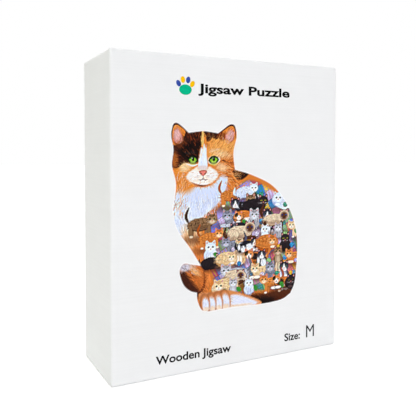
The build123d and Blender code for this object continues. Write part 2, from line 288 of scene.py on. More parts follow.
COATS = {
    "ginger": coat((222, 140, 66), (178, 92, 32), (250, 222, 186), (96, 120, 50), "tabby"),
    "cream": coat((240, 206, 158), (206, 154, 98), (252, 238, 216), (80, 110, 120), "tabby"),
    "white": coat((224, 228, 240), (168, 176, 204), (244, 245, 250), (70, 110, 160)),
    "grey": coat((150, 148, 156), (92, 90, 102), (206, 204, 208), (120, 140, 60), "tabby"),
    "silver": coat((196, 190, 190), (128, 118, 118), (232, 228, 226), (90, 120, 80), "tabby"),
    "brown": coat((150, 112, 76), (74, 48, 30), (226, 200, 166), (120, 130, 50), "tabby"),
    "black": coat((44, 34, 38), (18, 12, 18), (84, 62, 62), (190, 170, 60)),
    "pied": coat((34, 34, 46), (16, 16, 26), (244, 244, 250), (110, 130, 60), "pied"),
    "points": coat((232, 204, 170), (90, 48, 26), (248, 234, 214), (60, 110, 190), "points"),
    "tricolour": coat((216, 130, 58), (44, 26, 20), (246, 236, 224), (110, 120, 50), "tricolour"),
}
# Spots on a body: place and size as shares of its oval, then tone, softness and strength.
SPOTS = {
    "pied": [(0.3, -0.3, 0.5, 0.75, "belly", 0.4, 1), (-0.62, 0.15, 0.26, 0.6, "belly", 0.4, 1)],
    "tricolour": [(-0.45, 0.2, 0.4, 0.6, "shade", 0.5, 1), (0.4, -0.4, 0.45, 0.45, "belly", 0.5, 1)],
    "points": [(-0.9, -0.2, 0.35, 0.4, "shade", 1.0, 0.5)],
}


def kitten_head(cv, x, z, s, k):
    """Face seen from the front, s its half width and k its coat."""
    fur, shade, belly, marks = k["fur"], k["shade"], k["belly"], k["marks"]

    def spot(u, v, ru, rv, colour, turn=0.0, soft=0.4, strength=1.0):
        cv.oval(x + u * s, z + v * s, ru * s, rv * s, colour, turn, soft, strength)

    def shape(points, colour, soft, strength=1.0, rounds=2, side=1):
        cv.patch([(x + side * u * s, z + v * s) for u, v in points], colour, soft, strength, rounds)

    for side in (-1, 1):
        shape([(1.0, 0.2), (0.9, 1.45), (0.1, 0.75)], shade if marks in ("points", "pied") else fur,
              0.25, rounds=1, side=side)
        shape([(0.85, 0.5), (0.8, 1.15), (0.35, 0.75)], (214, 150, 142), 0.25, 0.8, 1, side)
    spot(0, 0, 1.05, 0.88, fur)
    spot(0, -0.25, 0.95, 0.6, belly, soft=s, strength=0.35)
    if marks == "tabby":
        for spread in (-0.5, -0.17, 0.17, 0.5):
            cv.hair(x + spread * s, z + 0.85 * s, -math.pi / 2 - spread, 0.6 * s, 0.22 * s, shade, 0.85)
        for side in (-1, 1):
            for drop in (0.0, -0.3):
                cv.hair(x + side * s, z + drop * s, towards(-side) + 0.2 * side, 0.45 * s, 0.16 * s,
                        shade, 0.7)
    if marks == "pied":
        shape([(0, 0.8), (-0.3, -0.2), (-0.75, -0.85), (0.75, -0.85), (0.3, -0.2)], belly, 0.3)
    if marks == "tricolour":
        shape([(-0.1, 0.9), (-1.0, 0.6), (-1.0, -0.3), (-0.2, 0)], shade, 0.3)
        spot(0.05, -0.35, 0.5, 0.55, belly)
    if marks == "points":
        spot(0, -0.1, 0.72, 0.68, shade, soft=0.7 * s, strength=0.95)
    else:
        spot(0, -0.42, 0.46, 0.32, belly, soft=0.3 * s)
    for side in (-1, 1):
        spot(side * 0.42, 0.06, 0.21, 0.17, (24, 16, 14), -side * 12, 0.15)
        spot(side * 0.42, 0.06, 0.15, 0.12, k["eye"], -side * 12, 0.15)
        spot(side * 0.42, 0.06, 0.07, 0.11, (8, 6, 6), soft=0.12)
        for rise in (-0.12, 0.02, 0.16):
            cv.hair(x + side * 0.3 * s, z - 0.42 * s, towards(side) + side * rise, 0.95 * s, 0.09,
                    (252, 250, 244), 0.55)
        cv.hair(x, z - 0.5 * s, towards(side) - side * 0.5, 0.3 * s, 0.14, (70, 36, 30), 0.75, side * 0.7)
    spot(0, -0.28, 0.13, 0.09, (40, 26, 24) if marks == "points" else (206, 116, 106), soft=0.15)


def coat_marks(cv, x, z, rx, rz, turn, k):
    """Stripes or spots over one oval of a kitten's body."""
    c, s = math.cos(math.radians(turn)), math.sin(math.radians(turn))

    def place(u, v):
        return x + u * rx * c - v * rz * s, z + u * rx * s + v * rz * c

    if k["marks"] == "tabby":
        for u in np.linspace(-0.75, 0.75, 6):
            reach = math.sqrt(1 - u * u)
            cv.arc([place(u, 0.95 * reach), place(u + 0.1, 0.35 * reach),
                    place(u - 0.02, -0.25 * reach)], 0.16 * rz, k["shade"], 0.55)
    for u, v, ru, rv, part, soft, strength in SPOTS.get(k["marks"], ()):
        cv.oval(*place(u, v), ru * rx, rv * rz, k[part], turn, soft, strength)


def body_oval(cv, x, z, rx, rz, k, turn, flow):
    """One furred, shaded mass of a kitten's body."""
    cv.oval(x, z, rx, rz, k["shade"], turn, 0.35)
    cv.oval(x, z + 0.06 * rz, 0.96 * rx, 0.92 * rz, k["fur"], turn, 0.5)
    cv.oval(x, z - 0.55 * rz, 0.7 * rx, 0.35 * rz, k["shade"], turn, 0.8 * rz, 0.35)
    coat_marks(cv, x, z, rx, rz, turn, k)
    ring = [(x + rx * math.cos(a), z + rz * math.sin(a)) for a in np.linspace(0, 6.28, 14)[:-1]]
    cv.fur(ring, flow, 2.6, 0.4 * min(rx, rz) + 0.6, 0.3, 0.26, 0.6)


def limb(cv, x, z, rx, rz, k, light):
    cv.oval(x, z, rx * 1.12, rz * 1.05, k["shade"], soft=0.3, strength=0.7)
    part = "shade" if k["marks"] == "points" else "belly" if light else "fur"
    cv.oval(x, z, rx, rz, k[part], soft=0.3)


def kitten(cv, x, z, s, kind, pose, way):
    """A kitten whose head is at x, z; way is the side its head is on, 1 or -1."""
    k = COATS[kind]
    s *= KITTEN_GROWTH
    b = BODY_TO_HEAD * s

    # Places behind and over the head, and sizes, in shares of b.
    def tail(width, *places):
        cv.arc([(x - way * u * b, z + v * b) for u, v in places], width * b,
               k["shade"] if k["marks"] in ("points", "tabby") else k["fur"])

    def mass(u, v, ru, rv, flow, turn=0.0):
        body_oval(cv, x - way * u * b, z + v * b, ru * b, rv * b, k, turn, flow)

    def leg(u, v, ru, rv, light=True):
        limb(cv, x - way * u * b, z + v * b, ru * b, rv * b, k, light)

    foot, middle, half = SHADOWS[pose]
    cv.oval(x - way * middle * b, z - foot * b, half * b, 0.5 * b, (96, 50, 26), soft=0.9 * b,
            strength=0.6)
    if pose == "sit":
        tail(0.6, (0.6, -2.9), (1.5, -2.7), (1.6, -1.7))
        mass(0, -1.7, 0.95, 1.45, DOWN)
        for side in (way, -way):
            mass(side * 0.68, -2.55, 0.5, 0.62, -1.2)
        cv.oval(x, z - 1.3 * b, 0.5 * b, 0.85 * b, k["belly"], soft=0.8 * b, strength=0.9)
        for side in (way, -way):
            leg(side * 0.28, -2.45, 0.23, 0.75)
            leg(side * 0.34, -3.12, 0.32, 0.19)
    if pose == "lie":
        tail(0.5, (3.0, -1.1), (3.7, -0.8), (3.6, 0.1))
        mass(1.5, -0.65, 1.9, 0.95, towards(-way))
        mass(2.5, -0.85, 0.9, 0.75, -1.6)
        for reach in (-0.5, 0.35):
            leg(reach, -1.35, 0.6, 0.24)
    if pose == "walk":
        tail(0.42, (3.2, -0.5), (3.7, 0.5), (3.3, 1.6))
        for reach in (0.9, 2.8):
            leg(reach, -1.5, 0.2, 0.6, False)
        mass(1.7, -0.6, 1.8, 0.85, towards(-way), way * 4)
        for reach in (0.45, 3.1):
            leg(reach, -1.45, 0.27, 0.75, False)
            leg(reach - 0.12, -2.1, 0.26, 0.16)
    if pose == "curl":
        mass(0.9, -0.3, 2.0, 1.25, towards(-way))
        tail(0.6, (2.7, -0.8), (1.2, -1.45), (-0.4, -1.0))
        leg(-0.1, -0.95, 0.45, 0.2)
    if pose == "peek":
        mass(0, -1.0, 1.0, 0.9, -1.5)
    kitten_head(cv, x, z, s, k)


# ---- things among the kittens
QUILT = [(70, 150, 120), (178, 160, 214), (240, 196, 60), (214, 140, 178), (120, 140, 206),
         (236, 168, 60), (60, 140, 190), (150, 190, 120), (206, 96, 120), (226, 206, 236)]
QUILT_TURN, QUILT_CELL = 24.0, 7.0       # degrees, mm


def quilt_colours(x, z):
    """Patchwork: each square has its own cloth, plain, striped, dotted or checked."""
    c, s = math.cos(math.radians(QUILT_TURN)), math.sin(math.radians(QUILT_TURN))
    u = ((x * c + z * s) + 0.5 * np.sin(z * 0.3)) / QUILT_CELL + 40
    v = ((z * c - x * s) + 0.5 * np.sin(x * 0.35)) / QUILT_CELL + 40
    iu, iv = np.floor(u).astype(int), np.floor(v).astype(int)
    fu, fv = u - iu, v - iv
    pick = (iu * 7 + iv * 3 + (iu * iv) % 5) % len(QUILT)
    base = np.array(QUILT, float)[pick]
    other = np.array(QUILT, float)[(pick + 4) % len(QUILT)]
    kind = (iu * 5 + iv * 2 + (iu * iv) % 3) % 4
    stripes = np.sin(fu * 6 * math.pi) > 0.35
    dots = np.hypot((fu * 3.5) % 1 - 0.5, (fv * 3.5) % 1 - 0.5) < 0.26
    checks = (np.sin(fu * 8 * math.pi) > 0) & (np.sin(fv * 8 * math.pi) > 0)
    figured = ((kind == 1) & stripes) | ((kind == 2) & dots) | ((kind == 3) & checks)
    rgb = np.where(figured[..., None], 0.35 * base + 0.65 * other, base)
    edge = np.minimum(np.minimum(fu, 1 - fu), np.minimum(fv, 1 - fv))
    rgb = rgb * (0.72 + 0.28 * smooth(edge / 0.07))[..., None]
    return rgb * (0.93 + 0.09 * np.sin(u * 2.1 + v * 3.3))[..., None]


def yarn(cv, x, z, r, colour):
    cv.oval(x, z, r * 1.05, r * 1.05, [0.55 * c for c in colour], soft=0.3)
    cv.oval(x - 0.08 * r, z + 0.1 * r, r * 0.92, r * 0.9, colour, soft=0.5)
    for k in range(7):
        a = k * 0.9
        cv.arc([(x + r * math.cos(a), z + r * math.sin(a)),
                (x + 0.25 * r * math.sin(a), z - 0.25 * r * math.cos(a)),
                (x - r * math.cos(a + 0.5), z - r * math.sin(a + 0.5))], 0.16 * r,
               [min(255, 1.3 * c) for c in colour] if k % 2 else [0.7 * c for c in colour], 0.6)


def leaf(cv, x, z, length, angle):
    c, s = math.cos(angle), math.sin(angle)
    for t in np.linspace(0, 1, 9):
        half = 0.42 * length * math.sin(math.pi * t) * (1 - 0.4 * t) + 0.05
        cv.oval(x + length * t * c, z + length * t * s, half, half, (70, 150, 60), soft=0.2)
    cv.hair(x, z, angle, length, 0.18, (42, 90, 36))


# ---- the big cat
def eye(cv, x, z, half_w, half_h, tilt):
    """Green eye with a dark rim; tilt lifts its outer corner, in degrees."""
    c, s = math.cos(math.radians(tilt)), math.sin(math.radians(tilt))

    def almond(grow, colour, soft):
        ts = np.linspace(-1, 1, 13)
        top = [(t * (half_w + grow), (half_h + grow) * (1 - t * t) ** 0.7) for t in ts]
        low = [(t * (half_w + grow), -(half_h * 0.9 + grow) * (1 - t * t) ** 0.7) for t in ts[::-1]]
        loop = [(x + u * c - v * s, z + u * s + v * c) for u, v in top + low[1:-1]]
        cv.patch(loop, colour, soft, rounds=0)

    almond(0.75, (12, 8, 8), 0.5)
    almond(-0.15, (46, 84, 30), 0.3)
    almond(-0.55, (136, 180, 50), 0.8)
    cv.oval(x, z - 0.9 * half_h, 0.75 * half_w, 0.7 * half_h, (206, 220, 110), soft=1.6, strength=0.7)
    for k in range(26):
        a = k * 2 * math.pi / 26
        cv.hair(x + 0.9 * math.cos(a), z + 0.9 * math.sin(a), a, 1.3, 0.12, (84, 120, 40), 0.35)
    cv.oval(x + 0.1, z + 0.4, 0.95, 1.35, (6, 6, 8), soft=0.3)
    cv.oval(x - 0.7, z + 1.15, 0.42, 0.34, (245, 250, 255), soft=0.25)
    cv.hair(x - half_w, z + 0.4, 0.35, 2.2 * half_w, 0.5, (14, 10, 10), 0.6, -0.1)


def outward(x, z):
    """How the head's fur lies: away from the bridge of its nose."""
    return math.atan2(z - 133, (x + 24) * 0.9)


def paint_body(cv):
    cv.patch([(-49, 122), (10, 136), (54, 120), (54, 36), (-49, 36)], (222, 132, 56), 2, rounds=0)
    cv.patch([(-47, 121), (-30, 123.6), (-17, 124.4), (-9.5, 132.4), (-5.6, 129), (-8, 122), (-12, 112),
              (-24, 104), (-34, 96), (-42, 90), (-48, 98)], (224, 226, 238), 1.5)
    cv.patch([(-44, 98), (-34, 100), (-24, 92), (-23, 76), (-30, 80)], (242, 206, 162), 4, 0.85)
    cv.oval(-31, 86, 4, 11, (232, 170, 116), 30, 4, 0.8)
    cv.patch([(-34, 84), (-22, 92), (-18, 70), (-20, 50), (-30, 52), (-27, 70)], (226, 134, 66), 3)
    cv.patch([(-44, 74), (-25, 72), (-22, 58), (-28, 50), (-44, 54)], (92, 38, 18), 1.5)
    cv.ovals((-37, 70, 5.5, 3.6, (178, 172, 184), -30, 3.5),
             (-32, 66, 4.5, 3.2, (196, 118, 62), -40, 4, 0.8),
             (-38.8, 62, 2, 6, (44, 22, 18), 10, 2.5, 0.8))
    cv.patch([(40, 76), (54, 80), (54, 40), (36, 38), (36, 50)], (198, 120, 70), 3)
    cv.oval(49, 62, 2.6, 10, (196, 168, 160), 0, 3, 0.8)
    cv.patch([(12, 48), (26, 46), (46, 50), (48, 40), (30, 37), (8, 37)], (92, 40, 14), 3)
    cv.oval(22, 41.5, 10, 3.4, (30, 12, 8), 0, 3)
    cv.fur([(-48, 122), (-8, 132), (-8, 110), (-30, 92), (-48, 96)],
           lambda x, z: DOWN - 0.02 * (x + 26) + 0.3 * math.sin(z * 0.5), 1.1, 4.2, 0.45, 0.13, 0.6)
    cv.fur([(-46, 100), (-22, 100), (-18, 50), (-30, 52)], -1.25, 1.0, 4.5, 0.45, 0.22, 0.6)
    cv.fur([(-42, 74), (-25, 72), (-27, 52), (-42, 56)], lambda x, z: 2.6 - 0.03 * (z - 60), 1.4, 4.2,
           0.4, 0.3, 0.65)
    cv.fur([(-8, 50), (54, 84), (54, 38), (-8, 38)], -0.5, 0.9, 4.0, 0.45, 0.22, 0.6)
    for _ in range(40):
        x = -44 + 34 * cv.rng.random()
        cv.hair(x, 122 - 0.5 * abs(x + 26) + cv.rng.uniform(-14, 1), DOWN + cv.rng.gauss(0, 0.3), 5.5,
                0.5, cv.rng.choice([(250, 250, 255), (180, 188, 214), (240, 232, 226)]), 0.7, 0.12)
    for _ in range(30):
        cv.hair(-8 + 9 * cv.rng.random(), 121 + 11 * cv.rng.random(), -0.9 + cv.rng.gauss(0, 0.25), 5, 0.5,
                cv.rng.choice([(232, 140, 60), (250, 196, 130), (150, 70, 30)]), 0.7, 0.1)


def paint_ruff(cv):
    """White chest fur under the chin."""
    cv.patch([(-44, 121.6), (-38, 121.4), (-31, 123.8), (-24.5, 122.4), (-17, 123.8), (-13, 128.4),
              (-8.8, 132.6), (-5.2, 129), (-6.4, 123.6), (-9, 116), (-44.6, 112)], (222, 225, 238), 1.6)
    for _ in range(230):
        x = cv.rng.uniform(-43, -6)
        top = 122.4 + max(0, x + 16) * 0.8
        tone = cv.rng.choice([(250, 250, 255), (188, 196, 220), (234, 222, 212), (210, 216, 234)])
        cv.hair(x, cv.rng.uniform(112, top), DOWN + 0.035 * (x + 26) + cv.rng.gauss(0, 0.25), 5.0, 0.34,
                tone, 0.55, 0.14)


def paint_paws(cv):
    """Front paws with rounded toes, and the foreleg that lies behind them."""
    white, peach, tan, brown = (234, 231, 240), (246, 216, 184), (214, 138, 82), (140, 76, 48)
    cv.patch([(-29.5, 53.4), (-20, 51.6), (-8, 52.8), (0, 50.6), (10, 46.8), (23, 40.8), (20, 38),
              (-24, 38)], (224, 150, 92), 1.4)
    cv.patch([(-5, 48.6), (2, 48.2), (9, 45.4), (19.5, 40.8), (15, 39), (-4, 39)], white, 2.0)
    cv.oval(1, 40.2, 12, 1.2, peach, 0, 1.4)
    for x, r in ((-7.6, 4.2), (-13.0, 3.6), (-18.0, 3.5), (-22.8, 3.4)):
        cv.ovals((x - 0.5, 45.0, 1.06 * r, 1.9 * r, brown, 8, 2.0, 0.8), (x, 45.0, r, 1.75 * r, tan, 8, 1.4),
                 (x + 0.3, 44.2, 0.74 * r, 1.35 * r, white, 8, 1.8),
                 (x + 0.5, 41.2, 0.6 * r, 0.42 * r, peach, 0, 1.4))
    cv.fur([(-28, 52), (-6, 51), (-4, 38.6), (-25, 38.6)], -1.35, 2.0, 2.4, 0.34, 0.10, 0.5)
    cv.fur([(-5, 49), (4, 48.4), (20, 41), (16, 39), (-4, 39)], -0.25, 2.0, 3.0, 0.34, 0.09, 0.5)


def paint_tail(cv):
    """The tail's end, curled round beside the paws: grey at its tip, ginger over dark fur."""
    tip = [(-42.5, 68), (-38.5, 73.8), (-32, 72.8), (-26, 71.2), (-23.4, 64), (-24.6, 56), (-29, 51.8),
           (-36, 54), (-40.5, 60)]
    cv.patch(tip, (206, 116, 52), 1.4)
    cv.patch([(-43, 67), (-41, 60), (-36, 53.6), (-29, 51), (-26.6, 54), (-31, 58), (-35.4, 63.4),
              (-38.6, 69)], (74, 34, 20), 3.2, 0.95)
    cv.ovals((-37.6, 70.6, 4.6, 2.5, (206, 204, 216), 12, 2.6, 0.9),
             (-30.5, 67.5, 4.4, 2.0, (240, 184, 126), -38, 2.4, 0.85))
    cv.fur(tip, -0.72, 1.9, 3.0, 0.36, 0.2, 0.6)
    for _ in range(60):
        x, z = cv.rng.uniform(-41, -31), cv.rng.uniform(59, 72.5)
        light = cv.rng.random() < smooth((x + 1.1 * z - 34) / 14)
        cv.hair(x, z, -0.72 + cv.rng.gauss(0, 0.16), cv.rng.uniform(2.5, 4.5), 0.34,
                (246, 240, 240) if light else (60, 28, 20), 0.42, 0.1)


def paint_forehead(cv):
    """The head's patches: ginger cheeks, a dark brown half and a dark cap."""
    cheeks = [(-50, 170), (4, 170), (3, 131), (-3, 129.5), (-8.8, 133), (-13, 129), (-17, 124.4),
              (-24.5, 122.8), (-31, 124.2), (-38, 121.8), (-44, 122), (-50, 120)]
    cv.patch(cheeks, (224, 134, 56), 1.8)
    cv.ovals((-10, 148, 12, 9, (240, 170, 92), 10, 8), (-6, 138, 9, 8, (216, 128, 60), 0, 6),
             (-38, 130, 9, 10, (232, 144, 58), 0, 6), (-37, 136.5, 4.5, 3.0, (246, 204, 152), 20, 3),
             (-10.5, 136, 5, 2.6, (246, 196, 146), -20, 3),
             (-10, 144.5, 7, 2.4, (246, 206, 156), -8, 3, 0.8))
    brown = (62, 26, 14)
    cv.patch([(-36.5, 162), (-25.2, 162), (-25.0, 152), (-27.2, 148), (-28.6, 145), (-27.6, 141.5),
              (-28.2, 138.6), (-33, 138.4), (-37, 139.4), (-40, 138.4), (-42, 136.2), (-44.4, 135.6),
              (-48, 137), (-48, 151), (-42, 150.5), (-38, 156)], brown, 0.8)
    cv.ovals((-34, 146.5, 6.5, 5.5, (14, 8, 8), -20, 4), (-29.5, 151, 3.2, 8, (34, 14, 10), -6, 3),
             (-40.5, 152, 4.2, 3.0, (128, 66, 30), 40, 4, 0.8),
             (-44.5, 141, 2.3, 5.2, (186, 106, 44), 0, 2.5, 0.9))
    cv.patch([(-24.2, 161), (-9, 161), (-11, 156.5), (-15, 154.3), (-17.5, 156), (-19, 153.8),
              (-21.6, 152.8), (-22.2, 156), (-24, 156.5)], brown, 0.6)
    cv.patch([(-14, 161), (-5, 158), (-9, 153.5), (-13, 155)], (134, 62, 26), 1.5, 0.85)
    cv.patch([(-25.4, 161), (-23.9, 161), (-23.6, 150), (-26.2, 150)], (244, 190, 110), 0.6)
    cv.patch([(-3, 134.6), (4, 135), (12, 132), (8.4, 128.8), (3.6, 126.6), (0, 128.6)], (52, 22, 14), 1.4)
    for tip, base_a, base_b in (((-44.6, 164.2), (-46.6, 150.5), (-37.0, 154.5)),
                                ((-0.4, 163.4), (-10.4, 156.2), (-1.0, 151.5))):
        mid_x = (tip[0] + base_a[0] + base_b[0]) / 3
        cv.patch([tip, base_a, base_b], (206, 106, 52), 1.2, rounds=1)
        inner = [(mid_x + 0.86 * (px - mid_x), 156.4 + 0.86 * (pz - 156.4))
                 for px, pz in (tip, base_a, base_b)]
        cv.patch(inner, (212, 142, 126), 1.2, rounds=1)
        cv.oval(mid_x - 0.3, 157.4, 2.4, 3.6, (232, 182, 172), 0, 2.4, 0.9)
    cv.fur(cheeks, outward, 1.5, 2.6, 0.42, 0.17, 0.55)
    for _ in range(190):
        z = cv.rng.uniform(139, 160)
        x = cv.rng.uniform(-44 if z < 150 else -37, -25)
        red = cv.rng.random() < 0.3 + 0.5 * smooth((z - 148) / 10)
        cv.hair(x, z, outward(x, z) + cv.rng.gauss(0, 0.25), cv.rng.uniform(2, 4.5), 0.36,
                cv.rng.choice([(150, 66, 26), (112, 44, 20), (176, 86, 36)]) if red else
                cv.rng.choice([(16, 8, 8), (36, 16, 12), (58, 26, 18)]), 0.5, 0.1)
    cv.strokes(170, (-22, -3, 137, 158), outward, 0.2, (2, 5), 0.34,
               [(250, 196, 120), (196, 92, 34), (238, 150, 66), (160, 72, 28)], 0.33)
    cv.strokes(150, (-46, -33, 106, 134), -1.9, 0.3, (3, 6), 0.4,
               [(240, 168, 96), (206, 110, 48), (250, 226, 200), (170, 84, 36)],
               lambda x: 0.5 * float(smooth((-32 - x) / 8)), 0.12)
    cv.strokes(120, (-8, 3, 124, 140), -0.5, 0.3, (3, 6), 0.4,
               [(240, 150, 70), (196, 96, 40), (120, 56, 28), (250, 196, 130)], 0.55, 0.12)
    for rim in ([(-46.6, 152), (-47.0, 158), (-45.9, 163.4), (-43, 164.6), (-39.4, 162.4), (-35, 158.8)],
                [(-12.6, 158.8), (-8.8, 161.4), (-4.6, 164.2), (-1.8, 164.6), (0, 162.4), (0.6, 156)]):
        cv.arc(rim, 1.5, (128, 52, 24), 0.7)
        cv.arc(rim, 0.7, (60, 24, 16), 0.7)
    for root, lean in ((-41.5, 1.9), (-6.5, 1.3)):
        for k in range(14):
            cv.hair(root + 0.42 * (k - 7), 151.6 + 0.05 * (k - 7) ** 2, lean - 0.06 * (k - 7), 3.6, 0.26,
                    (240, 204, 190) if k % 2 else (184, 92, 60), 0.5)


def paint_face(cv):
    """The white blaze and muzzle, the eyes, the nose, the mouth and the whiskers."""
    cv.patch([(-28.4, 136), (-27.6, 141), (-26.4, 145), (-25.6, 150.5), (-24.7, 147.5), (-23.6, 153),
              (-22.8, 148.5), (-21.9, 150), (-21.8, 143), (-20.8, 137), (-22, 133.6), (-27.2, 133.6)],
             (236, 238, 246), 1.0)
    for k in range(26):
        cv.hair(-27.6 + 0.25 * k, cv.rng.uniform(137, 147), 1.5 + cv.rng.gauss(0, 0.08), 4.5, 0.32,
                cv.rng.choice([(250, 250, 255), (206, 212, 232), (250, 214, 170)]), 0.6)
    cv.patch([(-37.4, 130), (-35, 132.6), (-31, 135.4), (-28.4, 137.4), (-26.6, 134.4), (-22, 134.4),
              (-19.8, 137.4), (-16.6, 134.8), (-13.8, 132.4), (-13.6, 129.6), (-16, 127), (-20, 124.8),
              (-25, 124), (-31, 124.8), (-34.6, 127.2)], (250, 230, 206), 1.8)
    cv.patch([(-28.8, 136.4), (-26.8, 137.4), (-22, 137.4), (-20.2, 136.2), (-21.8, 133.6),
              (-27.2, 133.6)], (224, 172, 140), 1.4, 0.4)
    cv.ovals((-31, 131, 4.4, 3.4, (252, 240, 226), 10, 2.5),
             (-17.6, 131.4, 4.4, 3.4, (250, 238, 226), -10, 2.5),
             (-24.5, 126, 4.2, 1.8, (252, 240, 222), 0, 1.5))
    cv.fur([(-36, 130), (-27, 136), (-21, 136), (-13, 132), (-20, 124.6), (-31, 125)], outward,
           2.2, 2.0, 0.3, 0.10, 0.5)
    cv.strokes(120, (-37, -12, 125.5, 135), outward, 0.2, (1.2, 2.6), 0.24,
               [(226, 150, 92), (206, 128, 78), (255, 252, 246)], 0.4)
    cv.arc([(-33, 126.4), (-29, 124.6), (-24.4, 123.8), (-19.6, 124.8)], 1.6, (190, 116, 74), 0.35)
    cv.arc([(-28.4, 124.6), (-26.4, 124.1), (-24.4, 123.9), (-22.4, 124.2)], 0.9, (120, 66, 46), 0.35)
    cv.patch([(-17.8, 144.0), (-12.6, 143.2), (-11.0, 141.4), (-12.8, 139.2), (-17, 138.0),
              (-20.6, 138.8), (-20.6, 142)], (240, 226, 208), 1.3)
    cv.arc([(-36.6, 138.6), (-32, 137.4), (-28, 138.4)], 1.2, (240, 226, 214), 0.9)
    eye(cv, -31.9, 141.2, 3.2, 2.1, -4)
    eye(cv, -16.4, 141.0, 3.3, 2.2, 6)
    for k in range(9):
        cv.hair(-10.5 + 0.2 * k, 140.6 + 0.1 * k, -0.25 - 0.05 * k, 5.5, 0.4, (120, 56, 30), 0.55, 0.05)
    for k in range(7):
        cv.hair(-19.5 + 0.9 * k, 146 + 0.25 * k, 1.25 - 0.12 * k, 3.4, 0.3, (250, 232, 204), 0.7, -0.1)
        cv.hair(-30.5 - 0.8 * k, 145.4 - 0.1 * k, 1.9 + 0.12 * k, 3.6, 0.22, (150, 120, 110), 0.45, 0.1)
    cv.patch([(-27.6, 134.2), (-21.2, 134.4), (-21.6, 132.4), (-23.6, 130.8), (NOSE_X, 130.2),
              (-25.3, 130.8), (-27.2, 132.4)], (188, 96, 70), 0.4)
    cv.patch([(-27.0, 133.6), (-21.8, 133.8), (-23.6, 131.4), (NOSE_X, 130.6), (-25.3, 131.4)],
             (232, 134, 116), 0.7)
    for side in (-1, 1):
        cv.oval(NOSE_X + side * 1.55, 132.2, 0.6, 0.38, (70, 24, 20), side * 30, 0.3)
        cv.arc([(NOSE_X, 128.9), (NOSE_X + side * 1.6, 127.8), (NOSE_X + side * 3.6, 128.2)], 0.5,
               (140, 70, 50), 0.75)
        for k in range(6):
            cv.hair(NOSE_X + side * 4.5, 131.2 - 0.5 * k, towards(side) + side * (0.32 - 0.13 * k),
                    12 - 0.6 * k, 0.2, (255, 252, 246), 0.6, -0.06 * side)
            cv.oval(NOSE_X + side * (3.2 + 0.7 * (k % 3)), 130.6 - 0.75 * (k // 3), 0.16, 0.16,
                    (150, 84, 56), soft=0.2, strength=0.8)
    cv.hair(NOSE_X, 130.4, DOWN, 1.9, 0.36, (120, 50, 40), 0.85)
    cv.oval(NOSE_X - 0.1, 128.4, 0.62, 0.42, (50, 18, 16), soft=0.3)


def paint_play(cv):
    """Rows of kittens, yarn and leaves on a patchwork over the cat's flank, from back to front."""
    rng = cv.rng
    flank = [(-19, 103), (-7, 113), (3, 124), (13, 128), (30, 120), (45, 108), (51, 92), (52, 70),
             (49, 54), (42, 47), (12, 50), (-14, 54), (-19, 68), (-22, 90)]
    edge = np.array(flank, float)
    cv.patch(flank, quilt_colours, 3)
    cv.fur(flank, -0.8, 0.8, 3.2, 0.4, 0.12, 0.4)
    coats, poses = list(COATS), list(SHADOWS)
    row = 0
    while ROW_TOP - row * ROW_PITCH > ROW_FOOT:
        rng.shuffle(coats)
        rng.shuffle(poses)
        for k in range(KITTENS_A_ROW):
            x = -19 + KITTEN_PITCH * (k + 0.5 * (row % 2)) + rng.gauss(0, 1.0)
            z = ROW_TOP - row * ROW_PITCH + rng.gauss(0, 1.0)
            depth = float(signed_distance(np.array([x]), np.array([z]), edge)[0])
            if depth < 1:
                continue
            kitten(cv, x, z, rng.uniform(2.6, 3.5), coats[k % len(coats)], poses[k % len(poses)],
                   rng.choice((-1, 1)))
            beside = x + 0.5 * KITTEN_PITCH
            if rng.random() < 0.4:
                yarn(cv, beside, z - 5, rng.uniform(1.3, 2.1), rng.choice(QUILT))
            elif rng.random() < 0.4:
                leaf(cv, beside, z - 6, 4.5, rng.uniform(0, 3.1))
        row += 1


def sharpen(cv):
    """Crisper and deeper: each point is pushed away from the mean of its neighbourhood."""
    soft = cv.rgb
    for axis in (0, 1):
        soft = sum(np.roll(soft, k, axis) for k in range(-SHARP_REACH, SHARP_REACH + 1))
        soft = soft / (2 * SHARP_REACH + 1)
    crisp = np.clip(BALANCE * (cv.rgb + SHARP_GAIN * (cv.rgb - soft)), 0, 255)
    cv.rgb = 255 * (crisp / 255) ** DEPTH


def paint_picture():
    """The whole picture on its own sheet."""
    cv = Canvas(PICTURE_AREA, PICTURE_STEP, (230, 150, 80))
    paint_body(cv)
    paint_ruff(cv)
    paint_play(cv)
    paint_paws(cv)
    paint_forehead(cv)
    paint_face(cv)
    paint_tail(cv)
    sharpen(cv)
    return cv


# ------------------------------------------------------------------ materials
def plug(tree, node, inputs):
    """Give a node's sockets their values, or link them to other nodes' outputs."""
    for socket, value in dict(inputs).items():
        if hasattr(value, "links"):
            tree.links.new(value, node.inputs[socket])
        else:
            node.inputs[socket].default_value = value


def adder(tree):
    """A helper that adds a node to a tree, with its settings and inputs."""
    def add(kind, inputs=(), **settings):
        node = tree.nodes.new(kind)
        for key, value in settings.items():
            setattr(node, key, value)
        plug(tree, node, inputs)
        return node

    return add


def material(name):
    """A helper that adds nodes to a new material, and one that sets its shader and returns it."""
    m = bpy.data.materials.new(name)
    m.use_nodes = True

    def finish(inputs):
        plug(m.node_tree, m.node_tree.nodes["Principled BSDF"], inputs)
        return m

    return adder(m.node_tree), finish


def linear(rgb):
    """Colours from 0 to 255 as linear values."""
    c = np.asarray(rgb, float) / 255
    return np.where(c <= 0.04045, c / 12.92, ((c + 0.055) / 1.055) ** 2.4)


def tone(r, g, b):
    return tuple(float(v) for v in linear((r, g, b)))


